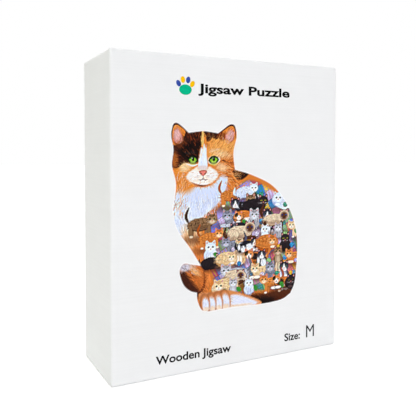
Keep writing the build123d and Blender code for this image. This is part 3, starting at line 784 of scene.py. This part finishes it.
def noise(add, patch, detail=4.0, roughness=0.6, stretch=(1, 1, 1)):
    """Soft noise with patches of a size in mm, shorter along an axis with more stretch."""
    place = add("ShaderNodeTexCoord").outputs["Object"]
    scale = tuple(k / (patch * MM) for k in stretch)
    where = add("ShaderNodeMapping", {"Vector": place, "Scale": scale}).outputs["Vector"]
    return add("ShaderNodeTexNoise", {"Vector": where, "Scale": 1.0, "Detail": detail,
                                      "Roughness": roughness}).outputs["Fac"]


def ramp(add, fac, stops):
    node = add("ShaderNodeValToRGB", {"Fac": fac})
    elements = node.color_ramp.elements
    while len(elements) < len(stops):
        elements.new(0.5)
    for element, (at, colour) in zip(elements, stops):
        element.position = at
        element.color = (*colour, 1)
    return node.outputs["Color"]


def between(add, fac, low, high, start=0.3, end=0.7):
    """A number that runs from low to high with the noise."""
    return add("ShaderNodeMapRange", {"Value": fac, "From Min": start, "From Max": end, "To Min": low,
                                      "To Max": high}).outputs["Result"]


def drifting(add, colour, spread, fac):
    """A colour that drifts a little lighter and darker with the noise."""
    low, high = ([min(1.0, v * k) for v in colour] for k in (1 - spread, 1 + spread))
    return ramp(add, fac, [(0.3, low), (0.7, high)])


def calculated(add, operation, a, b):
    return add("ShaderNodeMath", {0: a, 1: b}, operation=operation).outputs["Value"]


def mixed(add, fac, a, b, blend="MIX"):
    return add("ShaderNodeMix", {0: fac, 6: a, 7: b}, data_type="RGBA", blend_type=blend).outputs[2]


def shaded(add, base, shade):
    return mixed(add, 1.0, base, shade, "MULTIPLY")


def relief(add, height, depth, strength):
    """A bumped normal, its height in mm."""
    return add("ShaderNodeBump", {"Height": height, "Distance": depth * MM,
                                  "Strength": strength}).outputs["Normal"]


def paper(name, colour, roughness=0.5, streaks=0.014, spread=0.01, gloss=0.35):
    """Coated paper: fine level streaks of the coating over faint fibres."""
    add, finish = material(name)
    lines = noise(add, 0.7, 2.0, 0.5, (0.012, 0.012, 1))
    fibres = noise(add, 1.1, 5.0, 0.7)
    shade = ramp(add, lines, [(0.35, (1 - streaks,) * 3), (0.62, (1, 1, 1))])
    return finish({"Base Color": shaded(add, drifting(add, colour, spread, noise(add, 22)), shade),
                   "Normal": relief(add, calculated(add, "ADD", lines, fibres), 0.012, 0.6),
                   "Roughness": between(add, fibres, roughness - 0.05, roughness + 0.06),
                   "Specular IOR Level": gloss})


def printed(name, roughness=0.5):
    """Printed picture: the mesh's own colours under a thin, slightly uneven varnish."""
    add, finish = material(name)
    grain = noise(add, 0.8, 3.0)
    return finish({"Base Color": add("ShaderNodeAttribute", attribute_name="paint").outputs["Color"],
                   "Normal": relief(add, grain, 0.012, 0.5),
                   "Roughness": between(add, grain, roughness - 0.05, roughness + 0.07),
                   "Specular IOR Level": PRINT_GLOSS})


def ink(name, colour):
    """Printing ink, a little uneven."""
    add, finish = material(name)
    grain = noise(add, 1.6)
    return finish({"Base Color": drifting(add, colour, 0.12, grain),
                   "Normal": relief(add, grain, 0.008, 0.4), "Roughness": 0.5,
                   "Specular IOR Level": PRINT_GLOSS})


def grey_board():
    """Recycled board: grey, with darker and lighter flecks and pressed fibres."""
    add, finish = material("grey_board")
    flecks = noise(add, 0.7, 4.0, 0.8)
    spots = ramp(add, flecks, [(0.28, (0.4, 0.38, 0.35)), (0.40, (0.9, 0.9, 0.9)),
                               (0.62, (0.92, 0.92, 0.91)), (0.74, (1, 1, 1))])
    return finish({"Base Color": shaded(add, drifting(add, tone(168, 163, 154), 0.09, noise(add, 9)), spots),
                   "Normal": relief(add, flecks, 0.06, 0.7), "Roughness": 0.9})


def kraft_tape():
    """Brown gummed tape with fine ribs along its length."""
    add, finish = material("kraft_tape")
    ribs = noise(add, 0.5, 2.0, 0.5, (1, 1, 0.05))
    shade = ramp(add, ribs, [(0.35, (0.86, 0.85, 0.84)), (0.65, (1, 1, 1))])
    return finish({"Base Color": shaded(add, drifting(add, tone(190, 150, 104), 0.10, noise(add, 4)), shade),
                   "Normal": relief(add, ribs, 0.02, 0.5), "Roughness": 0.75})


def clear_film():
    """Clear crinkled bag film: mostly see-through, with a painted whitish sheen along its creases, where it
    is drawn less see-through.
    """
    add, finish = material("clear_film")
    creases_and_sheen = noise(add, 9, 5.0, 0.65)
    return finish({"Base Color": drifting(add, tone(232, 238, 240), 0.03, creases_and_sheen),
                   # Painted sheen: the film is more opaque, and so whiter, where the crease noise is high;
                   # the same noise also bumps the creases.
                   "Alpha": between(add, creases_and_sheen, 0.10, 0.30, 0.46, 0.64),
                   "Normal": relief(add, creases_and_sheen, 0.5, 0.7), "Roughness": 0.14,
                   "Specular IOR Level": 0.7})


def zip_plastic():
    """Milky blue-white plastic with drawn lines along the closure."""
    add, finish = material("zip_plastic")
    lines = noise(add, 0.5, 3.0, 0.5, (0.02, 1, 1))
    return finish({"Base Color": drifting(add, tone(196, 216, 232), 0.06, lines),
                   "Normal": relief(add, lines, 0.02, 0.5), "Roughness": 0.3, "Alpha": 0.8})


def plywood_piece():
    """A laser-cut piece: printed face, bare birch back, and scorched edges."""
    add, finish = material("printed_plywood")
    fur = noise(add, 13, 6.0, 0.62, (1, 0.05, 1.6))
    fine = noise(add, 2.2, 4.0, 0.7, (1, 0.05, 0.35))
    picture = ramp(add, fur, [
        (0.26, tone(36, 20, 16)), (0.34, tone(122, 58, 26)), (0.40, tone(214, 120, 48)),
        (0.46, tone(238, 168, 92)), (0.50, tone(248, 226, 196)), (0.54, tone(214, 218, 232)),
        (0.58, tone(150, 150, 162)), (0.62, tone(92, 150, 132)), (0.66, tone(188, 162, 214)),
        (0.72, tone(238, 196, 78))])
    strokes = ramp(add, fine, [(0.32, (0.62, 0.6, 0.6)), (0.5, (0.95, 0.95, 0.95)), (0.68, (1, 1, 1))])
    grain = noise(add, 1.6, 4.0, 0.6, (0.08, 1, 1))
    plies = noise(add, 1.0, 2.0, 0.5, (0.1, 1.3, 0.1))
    birch = drifting(add, tone(214, 178, 132), 0.13, grain)
    scorched = drifting(add, tone(92, 54, 30), 0.45, plies)
    normal = add("ShaderNodeNewGeometry").outputs["Normal"]
    facing = add("ShaderNodeSeparateXYZ", {"Vector": normal}).outputs["Y"]
    plain = mixed(add, calculated(add, "GREATER_THAN", facing, 0.9), scorched, birch)
    colour = mixed(add, calculated(add, "LESS_THAN", facing, -0.9), plain,
                   shaded(add, picture, strokes))
    return finish({"Base Color": colour, "Normal": relief(add, grain, 0.05, 0.5),
                   "Roughness": between(add, grain, 0.45, 0.65)})


# ------------------------------------------------------------------ meshes
def placed(name, data):
    """A new object in the scene."""
    thing = bpy.data.objects.new(name, data)
    bpy.context.scene.collection.objects.link(thing)
    return thing


def shown(name, mesh, body, looks):
    """A new piece that rides on a body."""
    mesh.materials.append(looks)
    piece = placed(name, mesh)
    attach(piece, body)
    return piece


def made(name, points, faces, body, looks, colours=None, facing=(0, -1, 0)):
    """A piece from points in mm; colours are linear, one for each point.

    Its faces are turned to agree, so that what lies furthest towards facing looks that way.
    """
    mesh = bpy.data.meshes.new(name)
    mesh.from_pydata((np.asarray(points, float) * MM).tolist(), [], [tuple(f) for f in faces])
    if colours is not None:
        paint = mesh.color_attributes.new("paint", "FLOAT_COLOR", "POINT")
        flat = np.ones((len(points), 4), np.float32)
        flat[:, :3] = colours
        paint.data.foreach_set("color", flat.ravel())
    work = bmesh.new()
    work.from_mesh(mesh)
    bmesh.ops.recalc_face_normals(work, faces=work.faces)
    along = Vector(facing)
    first = max(work.faces, key=lambda f: f.calc_center_median().dot(along))
    if first.normal.dot(along) < 0:
        bmesh.ops.reverse_faces(work, faces=work.faces)
    work.to_mesh(mesh)
    work.free()
    mesh.polygons.foreach_set("use_smooth", [True] * len(mesh.polygons))
    return shown(name, mesh, body, looks)


def thicken(piece, thickness):
    """Give an open skin its thickness, behind its outer face."""
    skin = piece.modifiers.new("thickness", "SOLIDIFY")
    skin.thickness = thickness * MM
    skin.offset = -1
    skin.use_quality_normals = True


def grid_faces(ids):
    """The quads of a grid of point numbers."""
    return np.stack([ids[:-1, :-1], ids[:-1, 1:], ids[1:, 1:], ids[1:, :-1]], -1).reshape(-1, 4)


def ripple(a, b, seed):
    """Slow unevenness from 0 to 1 over two lengths in mm."""
    return 0.5 + 0.17 * (np.sin(a / 23 + seed) + np.sin(b / 31 + 2 * seed) + np.sin((a + b) / 17 + seed))


def step_up(distance, width, edge=0.7):
    """1 where the distance is under the width, falling to 0 over a short slope."""
    return smooth((width - distance) / edge + 0.5)


def edge_lines(low, high, rounded_end=True):
    """Grid lines, close together beside the rounded edges and where a folded ear ends."""
    near = [0, 0.3, 0.6, 0.9, 1.3, 2.2, 5.0, 12.3, 13.0, 13.7]
    far = near if rounded_end else [0]
    count = max(2, int((high - low - near[-1] - far[-1]) / WRAP_STEP))
    middle = np.linspace(low + near[-1], high - far[-1], count + 1)[1:-1]
    return np.array([low + v for v in near] + list(middle) + [high - v for v in far[::-1]])


class Shell:
    """Points shared by the patches of a wrap, so that it closes into one skin."""

    def __init__(self):
        self.points, self.index, self.faces = [], {}, []

    def patch(self, rows):
        """A patch of points in rows; a point already there is shared."""
        ids = np.zeros((len(rows), len(rows[0])), int)
        for j, row in enumerate(rows):
            for i, p in enumerate(row):
                key = tuple(int(round(v * 1000)) for v in p)
                if key not in self.index:
                    self.index[key] = len(self.points)
                    self.points.append(p)
                ids[j, i] = self.index[key]
        self.faces += grid_faces(ids).tolist()


def wrap(name, node, body, looks, closed, rim, peak=None):
    """Paper round a tray of board: closed is the y of its panel and rim that of its open edge."""
    (x0, _, z0), (x1, _, z1) = box_mm(node)
    out = 1 if rim > closed else -1
    crest = abs(rim - closed)
    last = crest - BOARD_AND_PAPERS / 2
    xs, zs = edge_lines(x0, x1), edge_lines(z0, z1)
    ys = edge_lines(0, last, rounded_end=False)
    shell = Shell()
    shell.patch([[(x, 0, z) for x in xs] for z in zs])
    for z in (z0, z1):
        shell.patch([[(x, y, z) for x in xs] for y in ys])
    for x in (x0, x1):
        shell.patch([[(x, y, z) for z in zs] for y in ys])
    p = np.array(shell.points, float)
    depth = p[:, 1].copy()
    inner = np.clip(p, (x0 + EDGE_RADIUS, EDGE_RADIUS, z0 + EDGE_RADIUS),
                    (x1 - EDGE_RADIUS, crest, z1 - EDGE_RADIUS))
    away = p - inner
    away /= np.maximum(np.linalg.norm(away, axis=1, keepdims=True), 1e-9)
    p = inner + away * EDGE_RADIUS
    end = np.minimum(p[:, 2] - z0, z1 - p[:, 2])
    lift = RIPPLE * np.where(np.abs(away[:, 1]) > 0.5, ripple(p[:, 0], p[:, 2], 1.0),
                             ripple(p[:, 0] + p[:, 2], depth, 2.0))
    ears = (np.abs(away[:, 0]) > 0.9) * step_up(end, FLAP) * step_up(EDGE_RADIUS, depth, 2.0)
    lift += FLAP_STEP * ears
    if peak:
        lift += PEAK_HEIGHT * np.exp(-(np.linalg.norm(p - np.array(peak), axis=1) / PEAK_WIDTH) ** 2)
    p += away * lift[:, None]

    # Over the board's edge, then down its inside.
    edge = np.nonzero(np.abs(depth - last) < 1e-6)[0]
    middle, half = np.array([x0 + x1, z0 + z1]) / 2, np.array([x1 - x0, z1 - z0]) / 2
    from_middle = p[edge][:, [0, 2]] - middle
    order = np.argsort(np.arctan2(from_middle[:, 1] / half[1], from_middle[:, 0] / half[0]))
    edge, from_middle = edge[order], from_middle[order]
    bend = BOARD_AND_PAPERS / 2
    turns = np.linspace(0, math.pi, 9)[1:]
    profile = [(last + bend * math.sin(a), bend * (1 - math.cos(a))) for a in turns]
    profile += [(y, BOARD_AND_PAPERS) for y in np.linspace(last, crest - TURN_IN, 7)[1:]]
    rings, points = [edge], [p]
    for y, inset in profile:
        ring = middle + from_middle * (1 - inset / half)
        rings.append(sum(len(q) for q in points) + np.arange(len(edge)))
        points.append(np.stack([ring[:, 0], np.full(len(edge), y), ring[:, 1]], 1))
    rings = np.array(rings)
    faces = shell.faces + grid_faces(np.concatenate([rings, rings[:, :1]], 1)).tolist()
    points = np.concatenate(points)
    points[:, 1] = closed + out * points[:, 1]
    piece = made(name, points, faces, body, looks, facing=(0, -out, 0))
    thicken(piece, SKIN)
    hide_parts(node)
    return piece


# ------------------------------------------------------------------ printed pieces
def face_lift(x, z):
    """How far the lid panel's paper stands over its plane, as the wrap has it."""
    return RIPPLE * ripple(x, z, 1.0)


def outline_points():
    return np.array([p for stretch in OUTLINE for p in curve_through(stretch)])


def sampled(cv, x, z):
    """Linear colours of the painting at points, blended between its grid."""
    u = np.clip((x - cv.xs[0]) / cv.step, 0, len(cv.xs) - 1.001)
    v = np.clip((z - cv.zs[0]) / cv.step, 0, len(cv.zs) - 1.001)
    i, j = u.astype(int), v.astype(int)
    fu, fv = (u - i)[..., None], (v - j)[..., None]
    rgb = ((1 - fv) * ((1 - fu) * cv.rgb[j, i] + fu * cv.rgb[j, i + 1])
           + fv * ((1 - fu) * cv.rgb[j + 1, i] + fu * cv.rgb[j + 1, i + 1]))
    return linear(np.clip(rgb, 0, 255))


def picture_grid(step, loop, border):
    """Grid points and cells that reach past a loop by a border, and the points' depth in it."""
    (x0, z0), (x1, z1) = loop.min(0) - border - step, loop.max(0) + border + step
    x, z = np.meshgrid(np.arange(x0, x1 + step, step), np.arange(z0, z1 + step, step))
    depth = signed_distance(x, z, loop)
    inside = depth > -border
    cells = inside[:-1, :-1] & inside[1:, :-1] & inside[:-1, 1:] & inside[1:, 1:]
    used = np.zeros(x.shape, bool)
    for dj in (0, 1):
        for di in (0, 1):
            used[dj:dj + cells.shape[0], di:di + cells.shape[1]] |= cells
    number = np.cumsum(used).reshape(used.shape) - 1
    j, i = np.nonzero(cells)
    faces = np.stack([number[j, i], number[j, i + 1], number[j + 1, i + 1], number[j + 1, i]], 1)
    return x[used], z[used], depth[used], faces


def closed_plate(x, z, faces, front, back):
    """A thin plate: the front points, a copy behind them, and a rim between."""
    n = len(x)
    edges = np.concatenate([faces[:, [k, (k + 1) % 4]] for k in range(4)])
    _, first, counts = np.unique(np.sort(edges, axis=1), axis=0, return_index=True,
                                 return_counts=True)
    rim = [(b, a, a + n, b + n) for a, b in edges[first[counts == 1]]]
    points = np.concatenate([np.stack([x, front, z], 1), np.stack([x, back, z], 1)])
    return points, faces.tolist() + (faces[:, ::-1] + n).tolist() + rim


def cat_picture(cv):
    """The printed cat on the lid's panel, with a narrow white border."""
    x, z, depth, faces = picture_grid(PICTURE_GRID, outline_points(), BORDER)
    cover = smooth(depth / PICTURE_GRID + 0.5)[:, None]
    colours = cover * sampled(cv, x, z) + (1 - cover) * linear(BORDER_WHITE)
    face = FRONT - face_lift(x, z)
    points, faces = closed_plate(x, z, faces, face - INK, face - INK / 10)
    made("cat_picture", points, faces, "lid", printed("picture_print"),
         np.tile(colours, (2, 1)))


def words(name, text, x, z, cap, width, looks, weight=0.0):
    """Plain lettering on the lid's panel, with its capital height and whole width in mm."""
    font = bpy.data.curves.new(name, "FONT")
    font.body = text
    font.size = cap * MM / CAPITAL_SHARE
    font.offset = weight * MM
    font.extrude = INK * MM / 2
    font.resolution_u = 6
    line = placed(name, font)
    bpy.context.view_layer.update()
    drawn = line.evaluated_get(bpy.context.evaluated_depsgraph_get())
    mesh = bpy.data.meshes.new_from_object(drawn)
    bpy.data.objects.remove(line)
    co = np.array([v.co for v in mesh.vertices], float) / MM
    left, right = co[:, 0].min(), co[:, 0].max()
    px, pz = x + (co[:, 0] - left) * width / (right - left), z + co[:, 1]
    points = np.stack([px, FRONT - face_lift(px, pz) - INK / 2 - co[:, 2], pz], 1)
    mesh.vertices.foreach_set("co", (points * MM).ravel())
    mesh.name = name
    mesh.materials.clear()
    mesh.update()
    shown(name, mesh, "lid", looks)


def printed_oval(name, x, z, rx, rz, turn, looks):
    """A flat oval of ink."""
    c, s = math.cos(math.radians(turn)), math.sin(math.radians(turn))
    sides, rings = 40, 5
    around = np.linspace(0, 2 * math.pi, sides, endpoint=False)
    out = np.linspace(1, 0.05, rings)[:, None]
    u, v = rx * out * np.cos(around), rz * out * np.sin(around)
    px, pz = (x + u * c - v * s).ravel(), (z + u * s + v * c).ravel()
    face = FRONT - face_lift(px, pz)
    ids = np.arange(rings * sides).reshape(rings, sides)
    ids = np.concatenate([ids, ids[:, :1]], 1)
    n = rings * sides
    ring = ids[-1, :-1].tolist()
    rim = np.stack([ids[0], ids[0] + n])
    faces = (grid_faces(ids).tolist() + grid_faces(ids + n).tolist() + grid_faces(rim).tolist()
             + [ring, [k + n for k in ring]])
    points = np.concatenate([np.stack([px, face - INK, pz], 1),
                             np.stack([px, face - INK / 10, pz], 1)])
    made(name, points, faces, "lid", looks)


def paw_emblem():
    """A paw print in three colours: a pad and four toes."""
    teal, blue, yellow = (ink(name, tone(*rgb)) for name, rgb in (
        ("ink_teal", (0, 178, 132)), ("ink_blue", (52, 76, 160)), ("ink_yellow", (242, 188, 0))))
    x, z = -37.2, 187.0
    printed_oval("emblem_pad", x, z, 4.5, 3.4, 0, teal)
    toes = ((-4.9, 3.9, 28, blue), (-1.8, 6.4, 9, yellow), (2.0, 6.4, -9, blue), (5.0, 3.9, -28, yellow))
    for k, (dx, dz, turn, looks) in enumerate(toes):
        printed_oval(f"emblem_toe_{k + 1}", x + dx, z + dz, 1.55, 2.2, turn, looks)


# ------------------------------------------------------------------ what is in the box
def poster(cv, looks):
    """The folded reference sheet: two leaves joined along the fold, its picture on the front."""
    (x0, y0, z0), (x1, y1, z1) = box_mm("reference_poster")
    x, z = np.meshgrid(np.linspace(x0, x1, int((x1 - x0) / POSTER_STEP)),
                       np.linspace(z0, z1, int((z1 - z0) / POSTER_STEP)))
    outline = outline_points()
    middle = (outline.max(0) + outline.min(0)) / 2
    px = (x - (x0 + x1) / 2) / POSTER_GROWTH + middle[0]
    pz = (z - (z0 + z1) / 2) / POSTER_GROWTH + middle[1]
    cover = np.clip(signed_distance(px, pz, outline) / POSTER_STEP + 0.5, 0, 1)[..., None]
    blank = linear(POSTER_WHITE)
    front = (cover * sampled(cv, px, pz) + (1 - cover) * blank).reshape(-1, 3)
    wave = 0.05 * ripple(x, z, 3.0)
    leaves = [y0 + wave, y0 + wave + POSTER_LEAF, y1 - wave - POSTER_LEAF, y1 - wave]
    points = np.concatenate([np.stack([x, y, z], -1).reshape(-1, 3) for y in leaves])
    colours = np.concatenate([front] + [np.tile(blank, (len(front), 1))] * 3)
    ids = np.arange(len(points)).reshape(4, *x.shape)
    faces = [grid_faces(leaf) for leaf in ids]
    for near, far in ((0, 1), (2, 3)):
        faces += [grid_faces(np.stack([ids[near][part], ids[far][part]]))
                  for part in ((slice(None), -1), (0, slice(None)), (-1, slice(None)))]
    faces += [grid_faces(np.stack([ids[a][:, 0], ids[b][:, 0]])) for a, b in ((0, 3), (1, 2))]
    faces += [ids[[0, 1, 2, 3], row, 0][None] for row in (0, -1)]
    piece = made("poster_sheet", points, np.concatenate(faces).tolist(), "poster",
                 looks, colours)
    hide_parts("reference_poster")


def bag(looks):
    """The clear bag: flat sides that draw in to the closure, with fine creases."""
    (x0, y0, z0), (x1, y1, z1) = box_mm("zip_bag_film")
    wide, middle, deep = (x1 - x0) / 2, (y0 + y1) / 2, (y1 - y0) / 2
    zip_low, zip_high = (corner[2] for corner in box_mm("zip_profile_male"))
    side = [(z0, deep), (BAG_SHOULDER, deep), (BAG_NECK, BAG_LIP), (zip_low - ZIP_HALF, BAG_LIP),
            (zip_low, ZIP_HALF), (zip_high, ZIP_HALF), (zip_high + ZIP_HALF, BAG_LIP), (z1, BAG_LIP)]
    heights = np.unique(np.concatenate([np.linspace(a, b, max(2, int((b - a) / BAG_STEP) + 1))
                                        for (a, _), (b, _) in zip(side, side[1:]) if b > a]
                                       + [z0 + BAG_CORNER * (1 - np.cos(np.linspace(0, 1.57, 7)))]))
    depth = np.interp(heights, *np.array(side).T)
    rise = np.clip(1 - (heights - z0) / BAG_CORNER, 0, 1)
    inset = BAG_CORNER * (1 - np.sqrt(1 - rise ** 2))
    bend = BAG_CORNER * (1 - np.cos(np.linspace(0, math.pi / 2, 9)[:-1]))
    across = np.concatenate([bend - wide, np.linspace(BAG_CORNER - wide, wide - BAG_CORNER, 90),
                             (wide - bend)[::-1]])
    past = np.clip((np.abs(across) - wide + BAG_CORNER) / BAG_CORNER, 0, 1)
    bulge = np.sqrt(1 - past ** 2)
    x = np.concatenate([across, across[-2:0:-1]])
    y = np.concatenate([-bulge, bulge[-2:0:-1]])
    gx, gz = np.meshgrid(x, heights)
    gy = np.outer(np.maximum(depth - inset, BAG_LIP / 2), y)
    gx = gx * (1 - inset / wide)[:, None]
    rng = random.Random(11)
    crease = 0 * gx
    for k in range(CREASES):
        a, b, phase = rng.uniform(0.02, 0.15), rng.uniform(-0.12, 0.12), rng.uniform(0, 6.28)
        sway = 3 * np.sin(gz / 19 + k)
        crease += (1 - np.abs(np.sin(a * (gx + sway) + b * gz + phase + (gy > 0)))) ** 3 / CREASES
    free = smooth((gz - BAG_SHOULDER + 14) / 16) * smooth((zip_low - 2 - gz) / 8)
    gy -= np.sign(gy) * np.minimum((0.5 + 4.5 * free) * crease, 0.6 * np.abs(gy)) * (gz < zip_low - ZIP_HALF)
    points = np.stack([gx, middle + gy, gz], -1).reshape(-1, 3)
    ids = np.arange(len(points)).reshape(gx.shape)
    faces = grid_faces(np.concatenate([ids, ids[:, :1]], 1)).tolist()
    count = len(across)
    front, back = ids[0, :count], np.concatenate([ids[0, :1], ids[0, count:][::-1], ids[0, count - 1:count]])
    faces += [tuple(dict.fromkeys(int(v) for v in quad)) for quad in grid_faces(np.stack([front, back]))]
    piece = made("bag_film", points, faces, "piece_bag", looks)
    thicken(piece, BAG_SKIN)
    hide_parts("zip_bag_film")


def dress(names, looks):
    """Give carried-over CAD nodes their finish."""
    for name in names:
        node = NODES[name]
        node.data.materials.clear()
        node.data.materials.append(looks)


# ------------------------------------------------------------------ stage
def floor():
    """A pale floor that glows a little, as a light table does."""
    mesh = bpy.data.meshes.new("floor")
    corners = [(-FLOOR_REACH, -FLOOR_REACH), (FLOOR_REACH, -FLOOR_REACH), (FLOOR_REACH, FLOOR_REACH),
               (-FLOOR_REACH, FLOOR_REACH)]
    mesh.from_pydata([(x, y, 0) for x, y in corners], [], [(0, 1, 2, 3)])
    add, finish = material("floor_white")
    mesh.materials.append(finish({
        "Base Color": drifting(add, (0.93, 0.93, 0.93), 0.004, noise(add, 300)), "Roughness": 1.0,
        "Specular IOR Level": 0.0, "Emission Color": WHITE, "Emission Strength": FLOOR_GLOW}))
    placed("floor", mesh)


def studio():
    """Light from all round, less from some sides, and a white backdrop where the camera sees it."""
    world = bpy.data.worlds.new("studio")
    bpy.context.scene.world = world
    world.use_nodes = True
    tree = world.node_tree
    add = adder(tree)
    direction = add("ShaderNodeTexCoord").outputs["Generated"]
    light = WHITE
    for side, loss in WORLD_LOSSES:
        dot = add("ShaderNodeVectorMath", {0: direction, 1: side}, operation="DOT_PRODUCT")
        share = add("ShaderNodeMapRange", {"Value": dot.outputs["Value"]}).outputs["Result"]
        light = shaded(add, light, mixed(add, share, WHITE, (*[1 - v for v in loss], 1)))
    sky = tree.nodes["Background"]
    plug(tree, sky, {"Color": light, "Strength": WORLD_STRENGTH})
    backdrop = add("ShaderNodeBackground", {"Color": WHITE})
    seen = add("ShaderNodeMixShader", {0: add("ShaderNodeLightPath").outputs["Is Camera Ray"],
                                       1: sky.outputs[0], 2: backdrop.outputs[0]})
    plug(tree, tree.nodes["World Output"], {"Surface": seen.outputs[0]})


def aimed(name, data, place, ahead):
    """An object at a place that looks along a direction."""
    thing = placed(name, data)
    thing.location = place
    thing.rotation_mode = "QUATERNION"
    thing.rotation_quaternion = Vector(ahead).to_track_quat("-Z", "Y")
    return thing


def lamps():
    for name, kind, power, size, place, colour in LIGHTS:
        lamp = bpy.data.lights.new(name, kind)
        lamp.energy, lamp.color = power, colour
        if kind == "AREA":
            lamp.shape, lamp.size = "SQUARE", size
        else:
            lamp.angle = size
        aimed(name, lamp, place, Vector(AIM) - Vector(place)).visible_camera = False


def camera():
    lens = bpy.data.cameras.new("camera")
    lens.sensor_width, lens.lens, lens.shift_y = SENSOR, LENS, SHIFT
    lens.clip_start, lens.clip_end = CLIP
    yaw, pitch = math.radians(CAMERA_YAW), math.radians(CAMERA_PITCH)
    ahead = (math.sin(yaw) * math.cos(pitch), math.cos(yaw) * math.cos(pitch), -math.sin(pitch))
    bpy.context.scene.camera = aimed("camera", lens, CAMERA, ahead)
    bpy.context.scene.view_settings.view_transform = "Standard"


# ------------------------------------------------------------------ build
painting = paint_picture()
white = paper("wrap_paper", tone(236, 237, 238))
cream = paper("plain_wrap_paper", tone(234, 234, 230))

wrap("lid_wrap_paper", "lid_wrap", "lid", white, FRONT, LID_HIGH[1],
     peak=(LID_LOW[0] + PEAK_INSET, PEAK_INSET, LID_HIGH[2] - PEAK_INSET))
wrap("tray_wrap_paper", "tray_wrap", "tray", cream, TRAY_HIGH[1], TRAY_LOW[1])
cat_picture(painting)
paw_emblem()
heading = ink("ink_heading", tone(6, 6, 7))
caption = ink("ink_caption", tone(16, 16, 18))
words("heading_words", "Jigsaw Puzzle", -28.0, 185.6, 6.1, 73.0, heading, 0.25)
words("caption_words", "Wooden Jigsaw", -58.4, 9.4, 5.5, 55.4, caption, 0.18)
words("size_words", "Size:", 41.4, 9.4, 5.5, 13.7, caption, 0.16)
words("size_letter", "M", 60.7, 9.2, 9.6, 7.2, caption)

dress(["lid_board", "tray_board"], grey_board())
dress(["lid_corner_stays", "tray_corner_stays"], kraft_tape())
dress(["lid_lining", "tray_lining"],
      paper("lining_paper", tone(236, 236, 231), 0.7, 0.02, 0.015, 0.2))
dress(["zip_profile_male", "zip_profile_female"], zip_plastic())
dress([name for name in NODES if name.startswith("pieces_row_")],
      plywood_piece())
bag(clear_film())
poster(painting, printed("poster_print", 0.35))
floor()
studio()
lamps()
camera()
